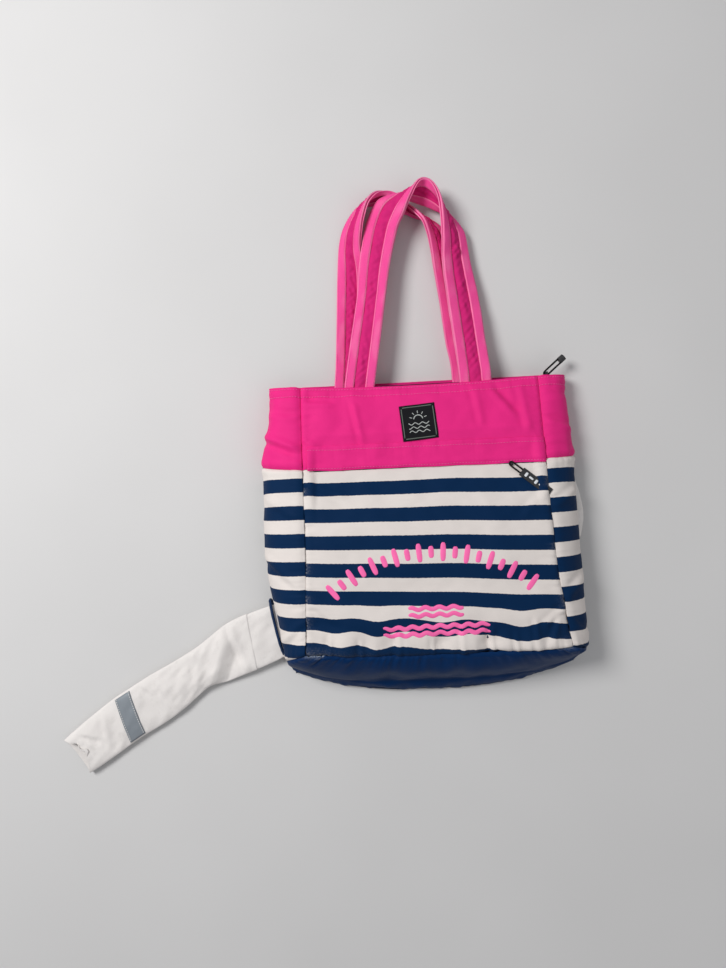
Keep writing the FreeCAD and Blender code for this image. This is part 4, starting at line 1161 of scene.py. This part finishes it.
def strap_face(lines, share, lift, seed, puff=0.0, gather=0.0, crown=0.0):
    """The face of a lengthwise part of a strap, from one share of its width to another."""
    outer, inner, normal, at = lines
    low, high = share
    a = np.linspace(low, high, max(5, int((high - low) * 22) + 1))
    edge = (a - low) / (high - low)
    points = outer[:, None] * (1 - a)[None, :, None] + inner[:, None] * a[None, :, None]
    S, A = np.meshgrid(at, a * STRAP_WIDE, indexing="ij")
    rise = (lift + crown * (1 - np.abs(2 * edge - 1) ** 3)[None]
            + puff * np.sin(math.pi * np.clip((a - 0.3) / 0.4, 0, 1))[None])
    middle = np.sin(math.pi * np.clip((a - 0.28) / 0.44, 0, 1))[None]
    rise = rise + gather * middle * (0.5 * ripple(S + A * 0.8, A, 9, seed)
                                     + 0.35 * wiggle(S - A * 0.9, 6, seed + 3))
    rise = rise + 0.25 * ripple(S, A, 20, seed + 9)
    return points + normal[:, None] * rise[:, :, None]


def build_strap(prefix, stations, seed, hinge_start, hinge_end):
    """One handle: a padded core, webbing above and below its edges, and four stitch rows."""
    lines = strap_lines(stations)
    outer, inner, normal, at = lines
    hinge = ("bag", prefix, hinge_start, hinge_end)

    def strip(name, top, thick, material, slot, nodes, fill=None):
        cols = top.shape[1]
        S = np.repeat(at[:, None], cols, axis=1)
        A = np.repeat(np.linspace(0, STRAP_WIDE, cols)[None], len(at), axis=0)
        near = np.minimum(np.arange(cols), cols - 1 - np.arange(cols))[None] + 0 * S
        wear = np.clip(1 - near, 0, 1) * 0.6 + 0.25 * np.clip(ripple(S, A, 40, 5), 0, 1)
        top[:, :, 2] += np.clip(0.5 - top[:, :, 2], 0, 8)
        panel_mesh(f"{prefix}_{name}", top, thick, material, None, slot,
                   np.stack([A, S, 0 * S], axis=2), wear,
                   out=np.repeat(normal[:, None], cols, axis=1), lowest=2 * LOWEST, blend=hinge,
                   fill=fill, stands_for=[f"{prefix}_{node}" for node in nodes])

    strip("pad_cloth", strap_face(lines, (0.02, 0.98), 0.9, seed, puff=2.0, gather=2.1), 2.6, "pad",
          "pink_fabric", ["pad", "tails"], 0.3)
    for share, label in (((0.0, 0.31), "outer"), ((0.69, 1.0), "inner")):
        for face, lift, crown, thick in (("strip", 1.9, 0.5, 1.8), ("under", -1.2, 0.0, 1.3)):
            strip(f"{label}_webbing_{face}", strap_face(lines, share, lift, seed + 20, crown=crown),
                  thick, "webbing", "pink_webbing", [label + "_webbing"])
        for place, row in ((share[0] + 0.045, "a"), (share[1] - 0.045, "b")):
            stitch_row(f"{prefix}_{label}_stitches_{row}",
                       outer * (1 - place) + inner * place + normal * 2.3, normal, "thread", None,
                       "pink_webbing", height=0.45, blend=hinge)


build_strap("front_handle", FRONT_HANDLE, 700, (0, 0.166, 0.030), (0, 0.192, 0.030))
build_strap("back_handle", BACK_HANDLE, 760, (0, 0.168, 0.006), (0, 0.194, 0.003))

# ---------------------------------------------------------------- the stick sleeve

# Stations along the sleeve: its upper edge and lower edge in plan, middle height, half thickness.
SLEEVE = np.array([
    (-160, -74, -158, -138, 12.0, 4.2), (-176, -76, -172, -140.5, 12.0, 4.4),
    (-191, -80.5, -184, -146, 10.5, 4.6), (-212, -87, -203, -154, 8.2, 4.8),
    (-236, -96, -226, -162, 6.6, 5.0), (-252, -105, -247, -169, 6.2, 5.4),
    (-268, -117, -267, -173.5, 6.2, 5.6), (-284, -128, -284, -186, 6.2, 5.4),
    (-310, -142.5, -300, -199, 6.0, 5.0), (-337, -156, -322, -213.5, 6.0, 4.9),
    (-363.3, -171, -346, -226.5, 6.0, 4.8), (-381.6, -181.5, -364.4, -237.4, 6.2, 5.0),
    (-410, -201.5, -385, -251, 6.0, 5.0), (-436, -221.5, -408, -265, 6.2, 5.2),
    (-444.5, -228.5, -416, -269, 6.4, 4.6)])
SLEEVE_FOLDS = [(-240, -101, -221, -156, 1.9, 4.5), (-285, -131, -277, -172, 1.0, 5.0),
                (-350, -166, -336, -176, 1.6, 3.0), (-330, -160, -306, -196, 1.0, 5.0),
                (-396, -198, -388, -236, 1.4, 4.0), (-398, -232, -424, -226, -1.6, 3.0)]
SLEEVE_SPLIT, SLEEVE_END = 3.4, 14     # stations: where the two lengths meet, and the open end


def sleeve_ring(start, end, shrink=0.0):
    """Rings of the flattened tube between two stations, and its cloth coordinates."""
    stations = np.arange(len(SLEEVE))
    at = np.linspace(start, end, int((end - start) * 14) + 1)
    rows = smooth_curve(stations, SLEEVE, at)
    angle = np.linspace(0, 2 * math.pi, 72, endpoint=False)
    across, tall = rounded(angle, 0.85, 0.75)
    middle = (rows[:, 0:2] + rows[:, 2:4]) / 2
    half = (rows[:, 0:2] - rows[:, 2:4]) / 2
    points = np.zeros((len(at), len(angle), 3))
    narrower = 1 - shrink * 0.02
    points[:, :, :2] = middle[:, None] + half[:, None] * (across[None, :, None] * narrower)
    fine = np.linspace(0, stations[-1], 200)
    run = smooth_curve(stations, SLEEVE, fine)
    S = np.interp(at, fine, lengths((run[:, 0:2] + run[:, 2:4]) / 2))[:, None] + 0 * angle[None]
    A = across[None] * 34 + 0 * S
    upper = np.clip(tall, 0, 1)[None]
    x, y = points[:, :, 0], points[:, :, 1]
    crumple = 1.1 * ripple(S, A, 42, 801) + 0.5 * ripple(S, A * 1.3, 17, 802)
    for fold in SLEEVE_FOLDS:
        crumple = crumple + crease(x, y, fold, 4, (0.7, 1.5, 0.7))
    # The deep crease where the sleeve turns: a step down from one side of its line to the other.
    (x0, y0), (x1, y1) = (-238, -97), (-267, -174)
    size = math.hypot(x1 - x0, y1 - y0)
    along = ((x - x0) * (x1 - x0) + (y - y0) * (y1 - y0)) / size
    off = ((x - x0) * (y0 - y1) + (y - y0) * (x1 - x0)) / size
    grow = np.clip(along / 40, 0, 1) * np.clip((size + 10 - along) / 10, 0, 1)
    crumple = crumple + grow * np.interp(off, (-40, -24, -12, -4, 0, 4, 17, 23, 36),
                                         (0, 0.6, 1.8, 3.6, 4.4, 3.2, -4.2, -3.4, 0))
    z = rows[:, 4:5] + (rows[:, 5:6] - shrink * 0.12) * tall[None]
    z = z + crumple * upper * np.clip(S / 20, 0, 1)
    # The open end's upper layer is pulled back from the lower one.
    last = np.clip((at[:, None] - 12.2) / 1.8, 0, 1) ** 1.5
    mouth = last * upper ** 0.3 * (tall[None] > 0) * (1 - np.abs(across[None]) ** 1.6)
    pulled = (mouth * 15 * (1 + 0.3 * wiggle(A, 25, 77)))[:, :, None]
    points[:, :, :2] -= np.array([-0.82, -0.57]) * pulled
    z = z + mouth * 1.6 - last * 1.3 * hill(np.abs(A) - 14, 8) * (tall[None] > 0)
    points[:, :, 2] = np.maximum(z, 0.5 + shrink * 0.3)
    return points, np.stack([A, S, 0 * S], axis=2)


def sleeve_piece(name, node, start, end, shrink, blend):
    points, fabric = sleeve_ring(start, end, shrink)
    made = panel_mesh(name, points, 0.8, "sleeve", None, "sleeve_fabric", fabric,
                      out=ring_normals(points), wrap=True, blend=blend, stands_for=[node])
    tube, _ = sleeve_ring(start, end)
    return points


sleeve_piece("sleeve_upper_cloth", "sleeve_upper", 0, SLEEVE_SPLIT, 1.0,
             ("bag", "sleeve_upper", (-0.176, -0.106, 0.012), (-0.200, -0.118, 0.010)))
lower_points = sleeve_piece(
    "sleeve_lower_cloth", "sleeve_lower", SLEEVE_SPLIT - 0.1, SLEEVE_END, 0.0,
    ("sleeve_upper", "sleeve_lower", (-0.262, -0.137, 0.006), (-0.288, -0.142, 0.006)))
sleeve_tree = tree_of(lower_points[:, :37])


def build_reflector():
    """The grey tape across the sleeve, between two lines in plan, with two stitch rows."""
    t = np.linspace(0.03, 0.97, 30)[:, None, None]
    s = np.linspace(0, 1, 14)[None, :, None]
    near = np.array((-363.6, -172.0)) * (1 - t) + np.array((-346.4, -225.6)) * t
    far = np.array((-381.2, -182.0)) * (1 - t) + np.array((-364.2, -236.4)) * t
    xy = near + (far - near) * s
    points, normal = laid(lambda x, y: drop(sleeve_tree, x, y, 9.0), xy, 0.75)
    panel_mesh("sleeve_reflector_tape", points, 0.7, "reflector", "sleeve_lower", "reflective_tape",
               np.concatenate([xy, 0 * xy[:, :, :1]], axis=2), out=normal,
               stands_for=["sleeve_reflector"])
    for column, label in ((1, "near"), (12, "far")):
        stitch_row("reflector_stitches_" + label, points[:, column], normal[:, column],
                   "pale_thread", "sleeve_lower", "reflective_tape", pitch=2.8, length=1.8,
                   width=1.0, height=0.9)


build_reflector()


def build_marks():
    """Generic pale bars moulded on the pocket puller's tab: start, end and half width of each."""
    turn = np.linspace(0, 2 * math.pi, 24, endpoint=False)
    across, up = rounded(turn, 0.5, 0.5)
    for k, (start, end, half) in enumerate(((19, 22, 2.6), (24.5, 30, 1.1), (32.5, 35.5, 2.6),
                                            (38, 43.5, 1.1), (46, 49, 2.6))):
        cx, hx = (start + end) / 2, (end - start) / 2
        verts = [(cx + hx * a * size, half * b * size, z)
                 for z, size in ((3.9, 1), (4.35, 1), (4.5, 0.85)) for a, b in zip(across, up)]
        faces = [tuple(range(24))[::-1], tuple(range(48, 72))] + grid_faces(3, 24, wrap=True)
        places = [POCKET_PULL @ Vector((x * MM, y * MM, z * MM)) / MM for x, y, z in verts]
        new_object(f"pocket_tab_mark_{k}", places, faces, "mark", "pocket_pull", "black_rubber")


build_marks()


def build_slots():
    """Navy binding round the left slot and the off-white lip showing at the right one."""
    angle = np.linspace(0, 2 * math.pi, 60, endpoint=False)
    across, up = rounded(angle, 0.8, 1)
    y, z = -106 + 32.5 * across, 11.5 + 6.8 * up
    x = -183.5 - 1.2 * np.sin(angle) - (y + 106) * 0.20
    loop_tube("left_slot_binding_roll", np.stack([x, y, z], axis=1),
              1.7 + 0.2 * wiggle(angle * 20, 9, 31), "binding", "bag", "navy_binding",
              ["left_slot_binding"])
    t = np.linspace(0, 1, 34)[:, None]
    edge_x = smooth_curve([0, 0.3, 0.65, 1], [175.5, 181, 183.5, 179], t)
    edge_y = 50 - 68 * t
    turn = np.linspace(-0.5, 0.55, 16)[None] * math.pi
    points = np.stack([
        edge_x - (9 + 1.2 * wiggle(edge_y, 22, 41)) * (1 - np.cos(turn)),
        edge_y + 0.5 * np.sin(turn * 3),
        12 + 6.2 * np.sin(turn) * (1 - 0.45 * np.abs(2 * t - 1) ** 3)
        + 0.5 * wiggle(edge_y, 13, 43)], axis=2)
    panel_mesh("right_slot_lip_cloth", points, 1.2, "sleeve", "bag", "sleeve_fabric",
               points[:, :, [2, 1, 0]] * (1, 1, 0), stands_for=["right_slot_lip"])


build_slots()

# ---------------------------------------------------------------- inside the bag


def inner_sheet(name, node, points, thick, fabric, out, material="lining", wrap=False):
    slot = "lining_fabric" if material == "lining" else "pink_fabric"
    panel_mesh(name + "_cloth", points, thick, material, "bag", slot, fabric, out=out, wrap=wrap,
               fill=0.0, stands_for=[node])


def build_lining():
    """A bag inside the bag: the shell moved in, with a floor closing it."""
    rows = np.arange(1, ROWS)
    ring = shell[rows]
    normal = ring_normals(ring)
    depth = np.full(ring.shape[:2], 4.6)
    depth[:, :FRONT_COLS] = 8.5
    depth[:, RIGHT[1:-1] + LEFT[1:-1]] = 5.2
    for _ in range(6):
        depth = (np.roll(depth, 1, 1) + depth + np.roll(depth, -1, 1)) / 3
        depth[1:-1] = (depth[:-2] + depth[1:-1] + depth[2:]) / 3
    along = np.arange(COLS)[None] * 5.0 + 0 * depth
    depth = depth + 0.8 * ripple(along, rows[:, None] * 4.8 + 0 * depth, 45, 950)
    points = ring - normal * depth[:, :, None]
    points[:, :, 2] = np.maximum(points[:, :, 2], 3.4)
    low = points[-1:].copy()
    middle = low.mean(axis=1, keepdims=True)
    shares = (0.25, 0.5, 0.75, 0.97)
    points = np.concatenate([points] + [low * (1 - share) + middle * share for share in shares])
    fabric = points.copy()
    fabric[:, :, 0] = along[0]
    out = np.concatenate([normal, np.repeat(normal[-1:], len(shares), 0)])
    inner_sheet("lining", "lining", points, 0.8, fabric, out, wrap=True)


def build_facings():
    """The pink strips inside the mouth, pushed in where the handles are sewn between."""
    for side, columns, handle_xs in (("front", FRONT, (-73, 64)), ("back", BACK, (-84, 56))):
        strip = resample(shell[:8][:, columns], np.linspace(0.1, 7, 16),
                         np.linspace(3, FRONT_COLS - 4, 90))
        out = normals_of(strip)
        rise = 2.6 + sum(3.6 * hill(strip[:, :, 0] - x, 24) for x in handle_xs)
        strip = strip - out * rise[:, :, None]
        strip[:, :, 2] = np.maximum(strip[:, :, 2], 3.0)
        # The facings take the darkened pink: painted shade inside the mouth.
        inner_sheet(side + "_facing", side + "_hem_facing", strip, 1.0, strip, out, "pink_shaded_inner")


def build_pocket_backing():
    coarse = shell[BAND_ROWS - 4:ROWS - 3][:, FRONT]
    backing = resample(coarse, np.linspace(0, ROWS - BAND_ROWS, 90),
                       np.linspace(1.5, FRONT_COLS - 2.5, 110))
    out = normals_of(backing)
    rise = 6.0 + 0.4 * ripple(backing[:, :, 0], backing[:, :, 1], 40, 960)
    backing = backing - out * rise[:, :, None]
    inner_sheet("pocket_backing", "pocket_backing", backing, 0.8, backing, out)


def build_stick_channel():
    """The flat tube between the two slots, which the sleeve is pushed into."""
    across, tall = rounded(np.linspace(0, 2 * math.pi, 40, endpoint=False)[None], 0.8, 0.7)
    x = np.linspace(-166, 157, 90)[:, None]
    y = -105 + (x + 166) / 323 * 121.5 + across * 30
    x = x - across * 11
    tube = np.stack([x, y, 12 + 5.2 * tall + 0.35 * ripple(x, y, 30, 970)], axis=2)
    inner_sheet("stick_channel", "stick_channel", tube, 0.9, tube, ring_normals(tube), wrap=True)


build_lining()
build_facings()
build_pocket_backing()
build_stick_channel()
# ---------------------------------------------------------------- finish

NODE_MATS = {"tape": "tape", "coil": "coil", "stops": "lacquer", "slider": "lacquer",
             "puller_end": "rubber", "puller_tab": "rubber", "base_board": "board"}
for node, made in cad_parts.items():
    key = next((mat for end, mat in NODE_MATS.items() if node.endswith(end)), "lining")
    if made.data.materials:
        for i in range(len(made.data.materials)):
            made.data.materials[i] = MATS[key]
    else:
        made.data.materials.append(MATS[key])
